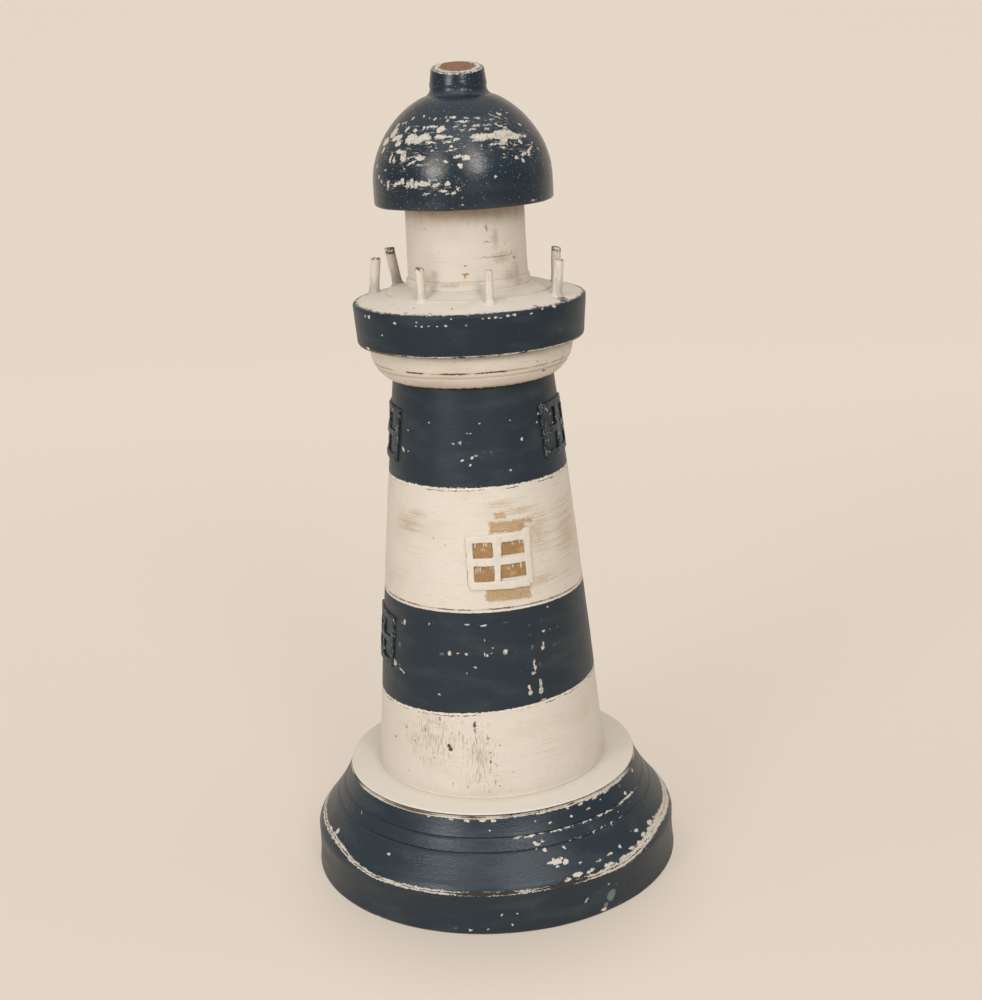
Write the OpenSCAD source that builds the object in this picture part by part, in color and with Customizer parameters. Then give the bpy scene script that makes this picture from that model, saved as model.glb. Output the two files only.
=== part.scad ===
// Turned and painted wooden lighthouse ornament, in millimetres.
// The axis of the tower is Z, the floor is z = 0 and the front is -Y.

/* [Base] */
// Diameter of the base at the floor
base_d = 131; // [120:0.2:144]
// Height of the base from the floor to its flat top
base_h = 37.6; // [34:0.2:46]
// Diameter of the base at its shoulder
shoulder_d = 130; // [118:0.2:140]
// Height at which the upright edge ends and the shoulder begins
shoulder_h = 14; // [10:0.5:18]
// Height over which the shoulder turns into the slope
shoulder_soft = 4; // [2:0.2:5]
// How far the shoulder turns in over that height
shoulder_in = 2.2; // [1:0.1:3]
// Depth of the hollow turned into the upright edge
waist_hollow = 0.3; // [0.1:0.1:1.4]
// Diameter of the rim around the flat top
rim_d = 103; // [94:0.5:110]
// Depth of the hollow turned into the slope
slope_hollow = 1.15; // [0.2:0.05:2.5]
// Height of the rim's upright lip
lip_h = 1.1; // [0.8:0.1:2]
// Height of the lower scored line on the slope
low_score_z = 25.8; // [20:0.1:27]
// Height of the upper scored line on the slope
high_score_z = 30; // [28:0.1:31]
// Radius that softens the floor edge and the rim
edge_soft = 0.6; // [0.2:0.1:0.7]

/* [Tower] */
// Diameter of the tower where it stands on the base
tower_foot_d = 81.8; // [74:0.2:88]
// Diameter of the tower under the collar
tower_top_d = 55; // [50:0.2:57]
// Height of the tower from the base to the collar
tower_h = 141.3; // [125:0.1:165]
// How far the tower swells beyond a straight taper
tower_swell = 0.55; // [0.1:0.05:1.5]
// Height of the scored line above the tower's foot
score_h = 66.8; // [62:0.1:68]
// Diameter of the tenon that seats in the base
tenon_d = 30; // [24:0.5:40]
// Length of that tenon
tenon_h = 14; // [10:0.5:16]

/* [Gallery] */
// Diameter of the collar where it sits on the tower
collar_low_d = 58; // [57.4:0.2:62]
// Diameter of the collar under the deck
collar_high_d = 69; // [64:0.2:74]
// Height of the collar
collar_h = 11.9; // [10:0.1:16]
// Swell of the collar's rounded side
collar_swell = 2; // [0.5:0.1:3]
// Height of the scored line above the collar's underside
collar_score_h = 4; // [3:0.1:7]
// Diameter of the deck at its upper edge
deck_d = 78.8; // [76:0.2:90]
// How much narrower the deck is at its lower edge
deck_taper = 1.6; // [0:0.1:3]
// Thickness of the deck at its edge
deck_edge_h = 14; // [10:0.1:18]
// Radius that softens the deck's two edges
deck_soft = 1; // [0.4:0.1:2]
// Rise of the deck's top from its edge to the lantern room
crown_h = 4.5; // [3.6:0.1:6]
// Diameter of the low step turned into the deck's top
step_d = 56.4; // [52:0.2:59.4]
// Height of the top of that step above the deck's edge
step_rise = 2.8; // [1.4:0.1:3.2]
// Height of the step itself
step_h = 0.4; // [0.2:0.1:0.8]

/* [Rail posts] */
// Diameter of a post
post_d = 3.2; // [2.4:0.1:4]
// Length of a post above the deck
post_h = 12; // [8:0.1:20]
// Length of a post inside the deck
post_sunk = 6; // [3:0.5:8]
// Diameter of the ring that the posts stand on
post_ring_d = 62; // [61:0.1:66]

/* [Lantern room] */
// Diameter of the lantern room above its foot
lantern_low_d = 40.4; // [36:0.2:44]
// Diameter of the lantern room under the roof
lantern_high_d = 39.7; // [34:0.2:44]
// Height of the lantern room
lantern_h = 27.2; // [25:0.1:36]
// How far the foot ring stands out
foot_ring_out = 0.7; // [0.3:0.1:1.5]
// Height of the foot ring
foot_ring_h = 3; // [2:0.1:5]

/* [Roof] */
// Diameter of the roof
roof_d = 59.6; // [54:0.2:70]
// Height of the roof's upright edge
eave_h = 7.3; // [4:0.1:10]
// Height of the roof's bell-shaped part
bell_h = 27; // [20:0.1:34]
// Diameter where the bell meets the neck
bell_top_d = 22; // [20.4:0.2:28]
// Diameter of the neck
neck_d = 19; // [15:0.2:20]
// Diameter of the neck's blunt top
neck_top_d = 17.8; // [13:0.2:19]
// Height of the neck
neck_h = 10.4; // [7:0.1:14]
// Slant of the neck's blunt top, down towards the front, in degrees
top_slant = 13; // [4:0.5:16]

/* [Window frames] */
// Width of a window frame
window_w = 20.5; // [16:0.5:24]
// Height of a window frame
window_h = 18.2; // [14:0.2:22]
// Width of a frame's bars
bar_w = 2.4; // [1.6:0.1:3.2]
// How far the bars stand out from the tower
bar_out = 0.6; // [0.4:0.1:1.2]
// Height of the front window's middle above the tower's foot
front_window_h = 83.7; // [79:0.1:90]
// Height of the lower window's middle above the tower's foot
low_window_h = 50.4; // [40:0.1:54]
// Distance of the upper windows' middle below the collar
upper_window_drop = 18; // [14:0.1:24]

/* [Pegs and screw] */
// Diameter of the peg from the tower to the lantern room
centre_dowel_d = 12; // [8:0.5:16]
// Diameter of the peg from the lantern room to the roof
roof_dowel_d = 8; // [6:0.5:12]
// Depth of the centre peg in the tower and in the lantern room
centre_dowel_sunk = 12; // [8:0.5:13]
// Depth of the upper peg in the lantern room and in the roof
roof_dowel_sunk = 9; // [6:0.5:10]
// Clearance between a peg, tenon or screw and its hole, on the radius
peg_clear = 0.05; // [0.02:0.01:0.1]
// Clearance between the end of a peg and the bottom of its hole
end_clear = 0.5; // [0.2:0.1:1]
// Diameter of the screw over its thread
screw_d = 4.8; // [4:0.1:6]
// Diameter of the screw's countersunk head
screw_head_d = 9.4; // [8:0.1:12]
// Length of the screw
screw_len = 45; // [36:0.5:55]
// Depth of the recess that hides the screw's head
recess_h = 6; // [4:0.5:8]
// Diameter of that recess
recess_d = 15; // [13:0.5:18]

/* [Hidden] */
$fn = 96;

// Direction of each post, in degrees from the front towards the right, how far it stands off the ring,
// its lean to the right in degrees, and how much higher it stands than the usual post
post_places = [
    [-103, 2.2, 6, 0.1],
    [-34.6, -3.7, 0, -1.2],
    [12.4, -1.1, 1, -1.4],
    [60.5, 1.9, 6.4, -0.2],
    [100, -0.8, 2.6, 0.4],
    [145, 0, -4, -0.8],
    [188, 0, 3, -1],
    [230.5, 0.9, -9.7, 1.5]
];

navy = [0.13, 0.17, 0.23];
white = [0.86, 0.82, 0.75];
bare_wood = [0.72, 0.52, 0.34];
steel = [0.62, 0.62, 0.64];

// Heights of the seats, one piece on the next
tower_z = base_h;
collar_z = tower_z + tower_h;
deck_z = collar_z + collar_h;
deck_edge_z = deck_z + deck_edge_h;
lantern_z = deck_edge_z + crown_h;
roof_z = lantern_z + lantern_h;
roof_h = eave_h + bell_h + neck_h;

// The lantern room's foot, and the seat turned for it in the crown
lantern_foot_d = lantern_low_d + 2 * foot_ring_out;
seat_margin = 0.4;
seat_d = lantern_foot_d + 2 * seat_margin;

// Bulge of the base's shoulder, and hollow of the deck's crown beside the lantern room
shoulder_bulge = 0.4;
crown_hollow = 0.3;
// Scored lines are V grooves
score_w = 0.9;
score_depth = 0.45;
// How far a cut runs past the face that it opens, and a tenon into its own piece
over = 1;

// Softened corners of the roof's eave and neck
eave_soft = 0.8;
neck_soft = 3;
// Height and hollow of the cove at the neck's root
neck_cove_h = 3.4;
neck_cove = 0.7;
// Exponent of the bell's curve: 1 is a quarter ellipse, more is a fuller shoulder and a sharper top
bell_power = 1.54;

// Screw details
head_h = 3.4;
thread_pitch = 2;
thread_depth = 0.7;
tip_h = 6;
drive_w = 1.3;
drive_l = 5.2;
drive_h = 2;

// Gap between a window frame and the tower that it follows
frame_gap = 0.02;
// Directions of the windows, in degrees from the front towards the right
front_window_dir = 9.3;
upper_left_window_dir = -81;
upper_right_window_dir = 68;
lower_left_window_dir = -77;

// Points of a shallow curve from a to b, without a: it bulges outwards by rise on the way up
function bow(a, b, rise, steps = 12) =
    let (d = b - a, side = [d.y, -d.x] / norm(d))
    [for (i = [1:steps]) let (t = i / steps) a + d * t + side * rise * 4 * t * (1 - t)];

// Points of a round corner about centre c
function corner(c, radius, from, to, steps = 6) =
    [for (i = [0:steps]) let (a = from + (to - from) * i / steps) c + radius * [cos(a), sin(a)]];

// Radius of the tower at height h above its foot
function tower_r(h) =
    let (t = h / tower_h)
    tower_foot_d / 2 + (tower_top_d - tower_foot_d) / 2 * t + tower_swell * 4 * t * (1 - t);

// Ends of the base's slope, and the slope's radius at height z
slope_low = [shoulder_d / 2 - shoulder_in, shoulder_h + shoulder_soft];
slope_high = [rim_d / 2, base_h - lip_h];
function slope_r(z) =
    let (t = (z - slope_low.y) / (slope_high.y - slope_low.y))
    slope_low.x + (slope_high.x - slope_low.x) * t - slope_hollow * 4 * t * (1 - t);

// Height of the deck's top at radius r outside the step
function deck_top_z(r) =
    deck_edge_z + (step_rise - step_h) * (deck_d / 2 - deck_soft - r) / (deck_d / 2 - deck_soft - step_d / 2);

module turned(outline) rotate_extrude() polygon(outline);

// A bore along the axis from height low to height high, wider than its peg by the clearance
module bore(d, low, high) translate([0, 0, low]) cylinder(d = d + 2 * peg_clear, h = high - low);

// Ring that cuts a scored line into a surface of radius r at height z
module scored_line(r, z)
    turned([[r + score_w, z - score_w], [r + score_w, z + score_w], [r - score_depth, z]]);

// Turned foot with the tenon's socket above and the screw's recess below
module base_plinth() {
    steps = 10;
    rise = (slope_high.y - slope_low.y) / steps;
    slope = [for (i = [1:steps]) let (z = slope_low.y + rise * i) [slope_r(z), z]];
    color(navy) difference() {
        turned(concat(
            [[0, 0]],
            corner([base_d / 2 - edge_soft, edge_soft], edge_soft, -90, 0),
            bow([base_d / 2, edge_soft], [shoulder_d / 2, shoulder_h], -waist_hollow),
            bow([shoulder_d / 2, shoulder_h], slope_low, shoulder_bulge, 5),
            slope,
            corner([rim_d / 2 - edge_soft, base_h - edge_soft], edge_soft, 0, 90),
            [[0, base_h]]
        ));
        scored_line(slope_r(low_score_z), low_score_z);
        scored_line(slope_r(high_score_z), high_score_z);
        scored_line(rim_d / 2, base_h - lip_h);
        bore(tenon_d, base_h - tenon_h - end_clear, base_h + over);
        bore(screw_d, 0, base_h);
        translate([0, 0, recess_h])
            cylinder(d1 = screw_head_d + 2 * peg_clear, d2 = screw_d + 2 * peg_clear, h = head_h);
        translate([0, 0, -over]) cylinder(d = recess_d, h = recess_h + over);
    }
}

// Tapered shaft with its tenon, a pilot hole for the screw and a bore for the centre peg
module tower() {
    steps = 16;
    side = [for (i = [0:steps]) let (h = tower_h * i / steps) [tower_r(h), h]];
    color(white) translate([0, 0, tower_z]) difference() {
        union() {
            turned(concat([[0, 0]], side, [[0, tower_h]]));
            translate([0, 0, -tenon_h]) cylinder(d = tenon_d, h = tenon_h + over);
        }
        scored_line(tower_r(score_h), score_h);
        bore(screw_d, -tenon_h - over, recess_h + screw_len + end_clear - tower_z);
        bore(centre_dowel_d, tower_h - centre_dowel_sunk - end_clear, tower_h + over);
    }
}

// Rounded moulding under the deck
module gallery_collar() {
    low = [collar_low_d / 2, 0];
    high = [collar_high_d / 2, collar_h];
    t = collar_score_h / collar_h;
    score_r = (low + (high - low) * t).x + collar_swell * 4 * t * (1 - t);
    color(white) translate([0, 0, collar_z]) difference() {
        turned(concat([[0, 0], low], bow(low, high, collar_swell), [[0, collar_h]]));
        scored_line(score_r, collar_score_h);
        bore(centre_dowel_d, -over, collar_h + over);
    }
}

// Places its children on the deck's top, at a post's foot and with its lean
module on_ring(place) {
    r = post_ring_d / 2 + place[1];
    translate([r * sin(place[0]), -r * cos(place[0]), deck_top_z(r)]) rotate([0, place[2], 0]) children();
}

// Thick disc with a crowned top, a low step and the holes for the posts
module gallery_deck() {
    low_r = deck_d / 2 - deck_taper / 2;
    high_r = deck_d / 2;
    step_top = [step_d / 2, deck_edge_z + step_rise];
    seat = [seat_d / 2, lantern_z];
    outline = concat(
        [[0, deck_z]],
        corner([low_r - deck_soft, deck_z + deck_soft], deck_soft, -90, 0),
        corner([high_r - deck_soft, deck_edge_z - deck_soft], deck_soft, 0, 90),
        [[step_top.x, step_top.y - step_h], step_top],
        bow(step_top, seat, -crown_hollow, 8),
        [[0, lantern_z]]
    );
    color(navy) difference() {
        turned(outline);
        bore(centre_dowel_d, deck_z - over, lantern_z + over);
        for (place = post_places)
            on_ring(place) bore(post_d, place[3] - post_sunk - end_clear, post_d);
    }
}

// Short peg, cut square
module rail_post(i) {
    color(white) on_ring(post_places[i]) translate([0, 0, post_places[i][3] - post_sunk])
        cylinder(d = post_d, h = post_sunk + post_h);
}

// Solid cylinder with a foot ring and a bore at each end
module lantern_room() {
    foot_r = lantern_foot_d / 2;
    color(white) translate([0, 0, lantern_z]) difference() {
        turned(concat(
            [[0, 0], [foot_r, 0], [foot_r, foot_ring_h - foot_ring_out]],
            corner([foot_r, foot_ring_h], foot_ring_out, 270, 180),
            [[lantern_high_d / 2, lantern_h], [0, lantern_h]]
        ));
        bore(centre_dowel_d, -over, centre_dowel_sunk + end_clear);
        bore(roof_dowel_d, lantern_h - roof_dowel_sunk - end_clear, lantern_h + over);
    }
}

// Bell-shaped roof turned in one piece with its blunt neck, which is cut at a slant
module roof_dome() {
    bell_z = eave_h + bell_h;
    root = [bell_top_d / 2, bell_z];
    neck_low = [neck_d / 2, bell_z + neck_cove_h];
    steps = 20;
    bell = [
        for (i = [0:steps])
            let (a = 90 * i / steps)
            [root.x + (roof_d / 2 - root.x) * pow(cos(a), bell_power), eave_h + bell_h * sin(a)]
    ];
    color(navy) translate([0, 0, roof_z]) difference() {
        turned(concat(
            [[0, 0]],
            corner([roof_d / 2 - eave_soft, eave_soft], eave_soft, -90, 0),
            bell,
            bow(root, neck_low, -neck_cove, 8),
            corner([neck_top_d / 2 - neck_soft, roof_h - neck_soft], neck_soft, 0, 90),
            [[0, roof_h]]
        ));
        bore(roof_dowel_d, -over, roof_dowel_sunk + end_clear);
        translate([0, neck_top_d / 2 - neck_soft, roof_h]) rotate([top_slant, 0, 0])
            translate([-neck_d, over - 2 * neck_d, 0]) cube([2 * neck_d, 2 * neck_d, neck_h]);
    }
}

// Peg through the collar and the deck, into the tower and the lantern room
module centre_dowel() {
    color(bare_wood) translate([0, 0, collar_z - centre_dowel_sunk])
        cylinder(d = centre_dowel_d, h = lantern_z - collar_z + 2 * centre_dowel_sunk);
}

// Peg between the lantern room and the roof
module roof_dowel() {
    color(bare_wood) translate([0, 0, roof_z - roof_dowel_sunk])
        cylinder(d = roof_dowel_d, h = 2 * roof_dowel_sunk);
}

// Countersunk wood screw with a cross recess, head down
module base_screw() {
    core_r = screw_d / 2 - thread_depth;
    thread_low = head_h + thread_pitch;
    thread_high = screw_len - tip_h;
    turns = floor((thread_high - thread_low) / thread_pitch);
    thread = [
        for (i = [0:turns - 1], step = [0, 1])
            [core_r + step * thread_depth, thread_low + (i + step / 2) * thread_pitch]
    ];
    color(steel) translate([0, 0, recess_h]) difference() {
        turned(concat(
            [[0, 0], [screw_head_d / 2, 0], [screw_d / 2, head_h], [screw_d / 2, thread_low]],
            thread,
            [[core_r, thread_high], [0, screw_len]]
        ));
        for (turn = [0, 90]) rotate([0, 0, turn])
            translate([-drive_l / 2, -drive_w / 2, -over]) cube([drive_l, drive_w, drive_h + over]);
    }
}

// Outline of a four-pane frame, seen from outside
module frame_outline() {
    pane_w = (window_w - 3 * bar_w) / 2;
    pane_h = (window_h - 3 * bar_w) / 2;
    difference() {
        square([window_w, window_h], center = true);
        for (x = [-1, 1], y = [-1, 1])
            translate([x * (pane_w + bar_w) / 2, y * (pane_h + bar_w) / 2])
                square([pane_w, pane_h], center = true);
    }
}

// Raised frame that follows the tower, with its middle at height h above the tower's foot
module window_frame(dir, h, paint) {
    steps = 4;
    low = h - window_h / 2;
    side = [for (i = [0:steps]) let (z = low + window_h * i / steps) [tower_r(z) + frame_gap, z]];
    shell = concat(side, [for (i = [steps:-1:0]) side[i] + [bar_out, 0]]);
    color(paint) translate([0, 0, tower_z]) rotate([0, 0, dir]) intersection() {
        turned(shell);
        translate([0, 0, h]) rotate([90, 0, 0]) linear_extrude(tower_foot_d) frame_outline();
    }
}

module window_front() window_frame(front_window_dir, front_window_h, white);
module window_upper_left() window_frame(upper_left_window_dir, tower_h - upper_window_drop, navy);
module window_upper_right() window_frame(upper_right_window_dir, tower_h - upper_window_drop, navy);
module window_lower_left() window_frame(lower_left_window_dir, low_window_h, navy);

base_plinth();
tower();
gallery_collar();
gallery_deck();
lantern_room();
roof_dome();
centre_dowel();
roof_dowel();
base_screw();
for (i = [0:len(post_places) - 1])
    rail_post(i);
window_front();
window_upper_left();
window_upper_right();
window_lower_left();
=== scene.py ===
import math

import bpy
from mathutils import Matrix, Vector


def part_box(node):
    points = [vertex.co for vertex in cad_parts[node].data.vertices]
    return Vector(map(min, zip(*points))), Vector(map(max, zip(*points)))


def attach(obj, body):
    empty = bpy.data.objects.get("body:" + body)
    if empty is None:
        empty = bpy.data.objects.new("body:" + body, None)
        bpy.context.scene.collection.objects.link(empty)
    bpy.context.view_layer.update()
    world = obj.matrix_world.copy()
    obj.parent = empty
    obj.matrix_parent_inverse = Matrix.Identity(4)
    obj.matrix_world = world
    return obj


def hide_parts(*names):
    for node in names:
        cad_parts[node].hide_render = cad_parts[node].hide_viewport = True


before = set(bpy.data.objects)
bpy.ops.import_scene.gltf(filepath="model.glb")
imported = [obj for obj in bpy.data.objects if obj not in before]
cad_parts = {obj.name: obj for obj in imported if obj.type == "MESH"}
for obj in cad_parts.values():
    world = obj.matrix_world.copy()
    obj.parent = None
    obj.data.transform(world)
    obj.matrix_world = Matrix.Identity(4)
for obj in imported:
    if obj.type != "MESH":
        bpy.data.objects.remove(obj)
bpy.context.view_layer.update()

# --- Base plinth ---------------------------------------------------------------------------------
# A round foot, turned from one block of light brown wood. Its slope and its upright edge are brushed
# navy over an off-white undercoat, and its flat top is off-white. The paint is rubbed through along
# the rim, the scored lines and the shoulder, down to the undercoat and in places to the wood.


def choose(piece):
    """Makes a piece the only one selected, and the active one."""
    bpy.ops.object.select_all(action="DESELECT")
    piece.select_set(True)
    bpy.context.view_layer.objects.active = piece


def pick_edges(piece, wanted):
    """Selects the edges whose two ends pass the test, and says how many there are."""
    bpy.ops.mesh.select_all(action="DESELECT")
    bpy.ops.object.mode_set(mode="OBJECT")
    ends = piece.data.vertices
    for edge in piece.data.edges:
        edge.select = wanted(*(ends[i].co for i in edge.vertices))
    count = sum(edge.select for edge in piece.data.edges)
    bpy.ops.object.mode_set(mode="EDIT")
    return count


def turn_on_lathe(node, towards, bare_inside, pitch=0.0011, sides=192):
    """Spins a solid's half outline in one direction, divided finely where it lies outside a radius."""
    outwards = Vector((math.sin(towards), -math.cos(towards), 0))
    piece = bpy.data.objects.new(node + "_turned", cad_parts[node].data.copy())
    piece.data.materials.clear()
    bpy.context.collection.objects.link(piece)
    choose(piece)
    bpy.ops.mesh.customdata_custom_splitnormals_clear()
    bpy.ops.object.mode_set(mode="EDIT")
    bpy.ops.mesh.select_mode(type="EDGE")
    bpy.ops.mesh.select_all(action="SELECT")
    bpy.ops.mesh.remove_doubles(threshold=1e-6)
    for normal, both in ((outwards.cross((0, 0, 1)), True), (outwards, False)):
        bpy.ops.mesh.select_all(action="SELECT")
        bpy.ops.mesh.bisect(plane_co=(0, 0, 0), plane_no=normal, clear_inner=True, clear_outer=both)
    bpy.ops.mesh.select_all(action="SELECT")
    bpy.ops.mesh.dissolve_limited(angle_limit=math.radians(0.2))
    while pick_edges(
        piece, lambda a, b: (a - b).length > pitch and min(a.xy.length, b.xy.length) > bare_inside
    ):
        bpy.ops.mesh.subdivide(number_cuts=1)
    bpy.ops.mesh.select_all(action="SELECT")
    bpy.ops.mesh.spin(steps=sides, angle=math.tau, center=(0, 0, 0), axis=(0, 0, 1))
    bpy.ops.mesh.select_all(action="SELECT")
    bpy.ops.mesh.remove_doubles(threshold=2e-6)
    bpy.ops.mesh.normals_make_consistent(inside=False)
    bpy.ops.object.mode_set(mode="OBJECT")
    return piece


def work_by_hand(piece, size, depth):
    """The slight unevenness that a hand-held chisel and thick paint leave, then smooth shading."""
    lumps = bpy.data.textures.new(piece.name + "_lumps", "CLOUDS")
    lumps.noise_scale = size
    push = piece.modifiers.new("lumps", "DISPLACE")
    push.texture = lumps
    push.strength = depth
    choose(piece)
    bpy.ops.object.modifier_apply(modifier=push.name)
    bpy.ops.object.shade_smooth_by_angle(angle=math.radians(32))


def stand_for(piece, nodes):
    """Puts a finished piece in the place of the plain solids that it dresses."""
    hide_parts(*nodes)
    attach(piece, "root")


class Shade:
    """A number that varies over a surface. Sums and products of shades become Math nodes."""

    def __init__(self, finish, socket):
        self.finish, self.socket = finish, socket

    def __add__(self, other):
        return self.finish.calc("ADD", self, other)

    __radd__ = __add__

    def __sub__(self, other):
        return self.finish.calc("SUBTRACT", self, other)

    def __rsub__(self, other):
        return self.finish.calc("SUBTRACT", other, self)

    def __mul__(self, other):
        return self.finish.calc("MULTIPLY", self, other)

    __rmul__ = __mul__

    def __or__(self, other):
        """Whichever is more."""
        return self.finish.calc("MAXIMUM", self, other)


class Finish:
    """A piece's finish, in coats: each covers the ones under it where its mask is 1. Sizes are in mm."""

    def __init__(self, name, colour, roughness, gloss=0.5):
        self.material = bpy.data.materials.new(name)
        self.material.use_nodes = True
        self.nodes = self.material.node_tree.nodes
        self.links = self.material.node_tree.links
        self.shader = self.nodes["Principled BSDF"]
        self.shader.inputs["Specular IOR Level"].default_value = gloss
        self.colour, self.roughness, self.relief = colour, roughness, 0.0
        scale = self.nodes.new("ShaderNodeMapping")
        scale.inputs["Scale"].default_value = (1000, 1000, 1000)
        self.links.new(self.nodes.new("ShaderNodeTexCoord").outputs["Object"], scale.inputs["Vector"])
        self.place = scale.outputs[0]
        split = self.nodes.new("ShaderNodeSeparateXYZ")
        self.links.new(self.place, split.inputs[0])
        self.sideways, self.depth, self.height = (Shade(self, socket) for socket in split.outputs)
        self.radius = self.calc("SQRT", self.sideways * self.sideways + self.depth * self.depth)
        self.turn = self.calc("DEGREES", self.calc("ARCTAN2", self.sideways, self.depth * -1))

    def fill(self, socket, value):
        """Links a shade to a socket, or sets a colour or a plain number on it."""
        if isinstance(value, Shade):
            self.links.new(value.socket, socket)
        elif isinstance(value, tuple):
            socket.default_value = (*value, 1)
        else:
            socket.default_value = value

    def calc(self, operation, *terms):
        """One Math node."""
        step = self.nodes.new("ShaderNodeMath")
        step.operation = operation
        for socket, term in zip(step.inputs, terms):
            self.fill(socket, term)
        return Shade(self, step.outputs[0])

    def ramp(self, value, low, high):
        """Smoothly from 0 where the value is low to 1 where it is high."""
        step = self.nodes.new("ShaderNodeMapRange")
        step.interpolation_type = "SMOOTHSTEP"
        for socket, term in zip(step.inputs, (value, low, high)):
            self.fill(socket, term)
        return Shade(self, step.outputs[0])

    def mix(self, mask, under, over):
        """The colour over, where the mask is 1, on the colour under."""
        step = self.nodes.new("ShaderNodeMix")
        step.data_type = "RGBA"
        for index, term in ((0, mask), (6, under), (7, over)):
            self.fill(step.inputs[index], term)
        return Shade(self, step.outputs[2])

    def near(self, off, outside, inside):
        """Smoothly from 0 where a distance, either way, is outside to 1 where it is inside."""
        return self.ramp(self.calc("ABSOLUTE", off), outside, inside)

    def grain(self, size, drawn=(1, 1, 1), detail=2.0, rough=0.5, start=0.0):
        """Noise with features of about that size, drawn out along x, y and z."""
        grid = self.nodes.new("ShaderNodeMapping")
        grid.inputs["Scale"].default_value = [1 / (size * stretch) for stretch in drawn]
        grid.inputs["Location"].default_value = (start, start * 0.7, start * 0.3)
        self.links.new(self.place, grid.inputs["Vector"])
        noise = self.nodes.new("ShaderNodeTexNoise")
        self.links.new(grid.outputs[0], noise.inputs["Vector"])
        for name, value in (("Scale", 1), ("Detail", detail), ("Roughness", rough)):
            noise.inputs[name].default_value = value
        return Shade(self, noise.outputs[0])

    def patch(self, direction, at, wide, high, along=None):
        """1 in the middle of an oval on the surface, 0 at its edge and outside."""
        across = self.calc("WRAP", self.turn - direction, 180, -180) * self.radius * (math.pi / 90 / wide)
        up = ((along or self.height) - at) * (2 / high)
        return self.calc("MAXIMUM", 1 - self.calc("SQRT", across * across + up * up), 0)

    def patches(self, places, along=None):
        """Several ovals, each a direction, a height, its width and its height."""
        found = self.patch(*places[0], along=along)
        for place in places[1:]:
            found = found | self.patch(*place, along=along)
        return found

    def unroll(self, girth, fray=0.7, size=0.8, up=None):
        """Lays the surface flat at a girth's radius, with a wandering grid that frays the flakes on it."""
        wander = [self.grain(size, detail=2, rough=0.6, start=start) - 0.5 for start in (50, 90)]
        self.across = self.turn * (girth * math.pi / 180) + wander[0] * (2 * fray)
        self.up = (up or self.height) + wander[1] * (2 * fray)
        self.sheets, self.girth = {}, girth

    def leaning(self, angle):
        """The unrolled surface turned by an angle, so that flakes with that slant lie level on it."""
        if angle not in self.sheets:
            sheet = self.nodes.new("ShaderNodeCombineXYZ")
            c, s = math.cos(angle), math.sin(angle)
            self.fill(sheet.inputs[0], self.across * c + self.up * s if angle else self.across)
            self.fill(sheet.inputs[1], self.up * c - self.across * s if angle else self.up)
            self.sheets[angle] = sheet.outputs[0]
        return self.sheets[angle]

    def chips(self, places, soft=0.15):
        """Flakes on the unrolled surface, each a direction, height, width, its own height and slant."""
        deepest, lean_step = 0.0, 0.2
        for direction, at, wide, high, *slant in places:
            steps = round(math.atan(slant[0]) / lean_step) if slant else 0
            angle = steps * (lean_step if wide > high else -lean_step)
            middle = Vector((direction * self.girth * math.pi / 180, at))
            middle.rotate(Matrix.Rotation(-angle, 2))
            spot = self.nodes.new("ShaderNodeVectorMath")
            spot.operation = "MULTIPLY_ADD"
            self.links.new(self.leaning(angle), spot.inputs[0])
            spot.inputs[1].default_value = (2 / wide, 2 / high, 0)
            spot.inputs[2].default_value = (-2 * middle.x / wide, -2 * middle.y / high, 0)
            away = self.nodes.new("ShaderNodeVectorMath")
            away.operation = "LENGTH"
            self.links.new(spot.outputs[0], away.inputs[0])
            half = min(wide, high) / 2
            deepest = self.calc("MULTIPLY_ADD", Shade(self, away.outputs["Value"]), -half, half) | deepest
        return self.ramp(deepest, 0, soft)

    def line(self, at, width, soft=0.15, wobble=0.0):
        """A line around the piece at a height."""
        return self.near(self.height + wobble - at, width / 2 + soft, width / 2 - soft)

    def coat(self, mask, colour, roughness=None, raised=0.0):
        """Brushes a colour on where the mask is 1, raised from what it covers or sunk into it."""
        self.colour = self.mix(mask, self.colour, colour)
        if roughness is not None:
            self.roughness = self.roughness + mask * (roughness - self.roughness)
        if raised:
            self.relief = mask * raised + self.relief

    def dry(self, *pieces):
        """Wires the coats to the shader and gives the finish to the pieces."""
        self.fill(self.shader.inputs["Base Color"], self.colour)
        self.fill(self.shader.inputs["Roughness"], self.roughness)
        bump = self.nodes.new("ShaderNodeBump")
        bump.inputs["Distance"].default_value = 0.001
        self.fill(bump.inputs["Height"], self.relief)
        self.links.new(bump.outputs[0], self.shader.inputs["Normal"])
        for piece in pieces:
            piece.data.materials.clear()
            piece.data.materials.append(self.material)


navy = (0.008, 0.019, 0.030)
faded_navy = (0.021, 0.033, 0.042)
off_white = (0.655, 0.600, 0.522)
undercoat = (0.560, 0.510, 0.440)
# Aged, yellowed white. It is also used as painted shade in the corners at the tower's foot and around the
# lantern's foot.
aged_and_shaded_white = (0.540, 0.465, 0.370)
worn_grey = (0.180, 0.190, 0.185)
bare_brown = (0.150, 0.085, 0.045)
crack = (0.030, 0.022, 0.016)
light_wood = (0.450, 0.300, 0.170)
late_wood = (0.310, 0.190, 0.100)
around = (7, 7, 0.7)
upright = (0.45, 0.45, 5)

plinth = turn_on_lathe("base_plinth", math.radians(180), bare_inside=0.04)
work_by_hand(plinth, size=0.02, depth=0.00025)
for vertex in plinth.data.vertices:  # the underside is sanded flat
    vertex.co.z = max(vertex.co.z, 0)
stand_for(plinth, ["base_plinth"])

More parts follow.
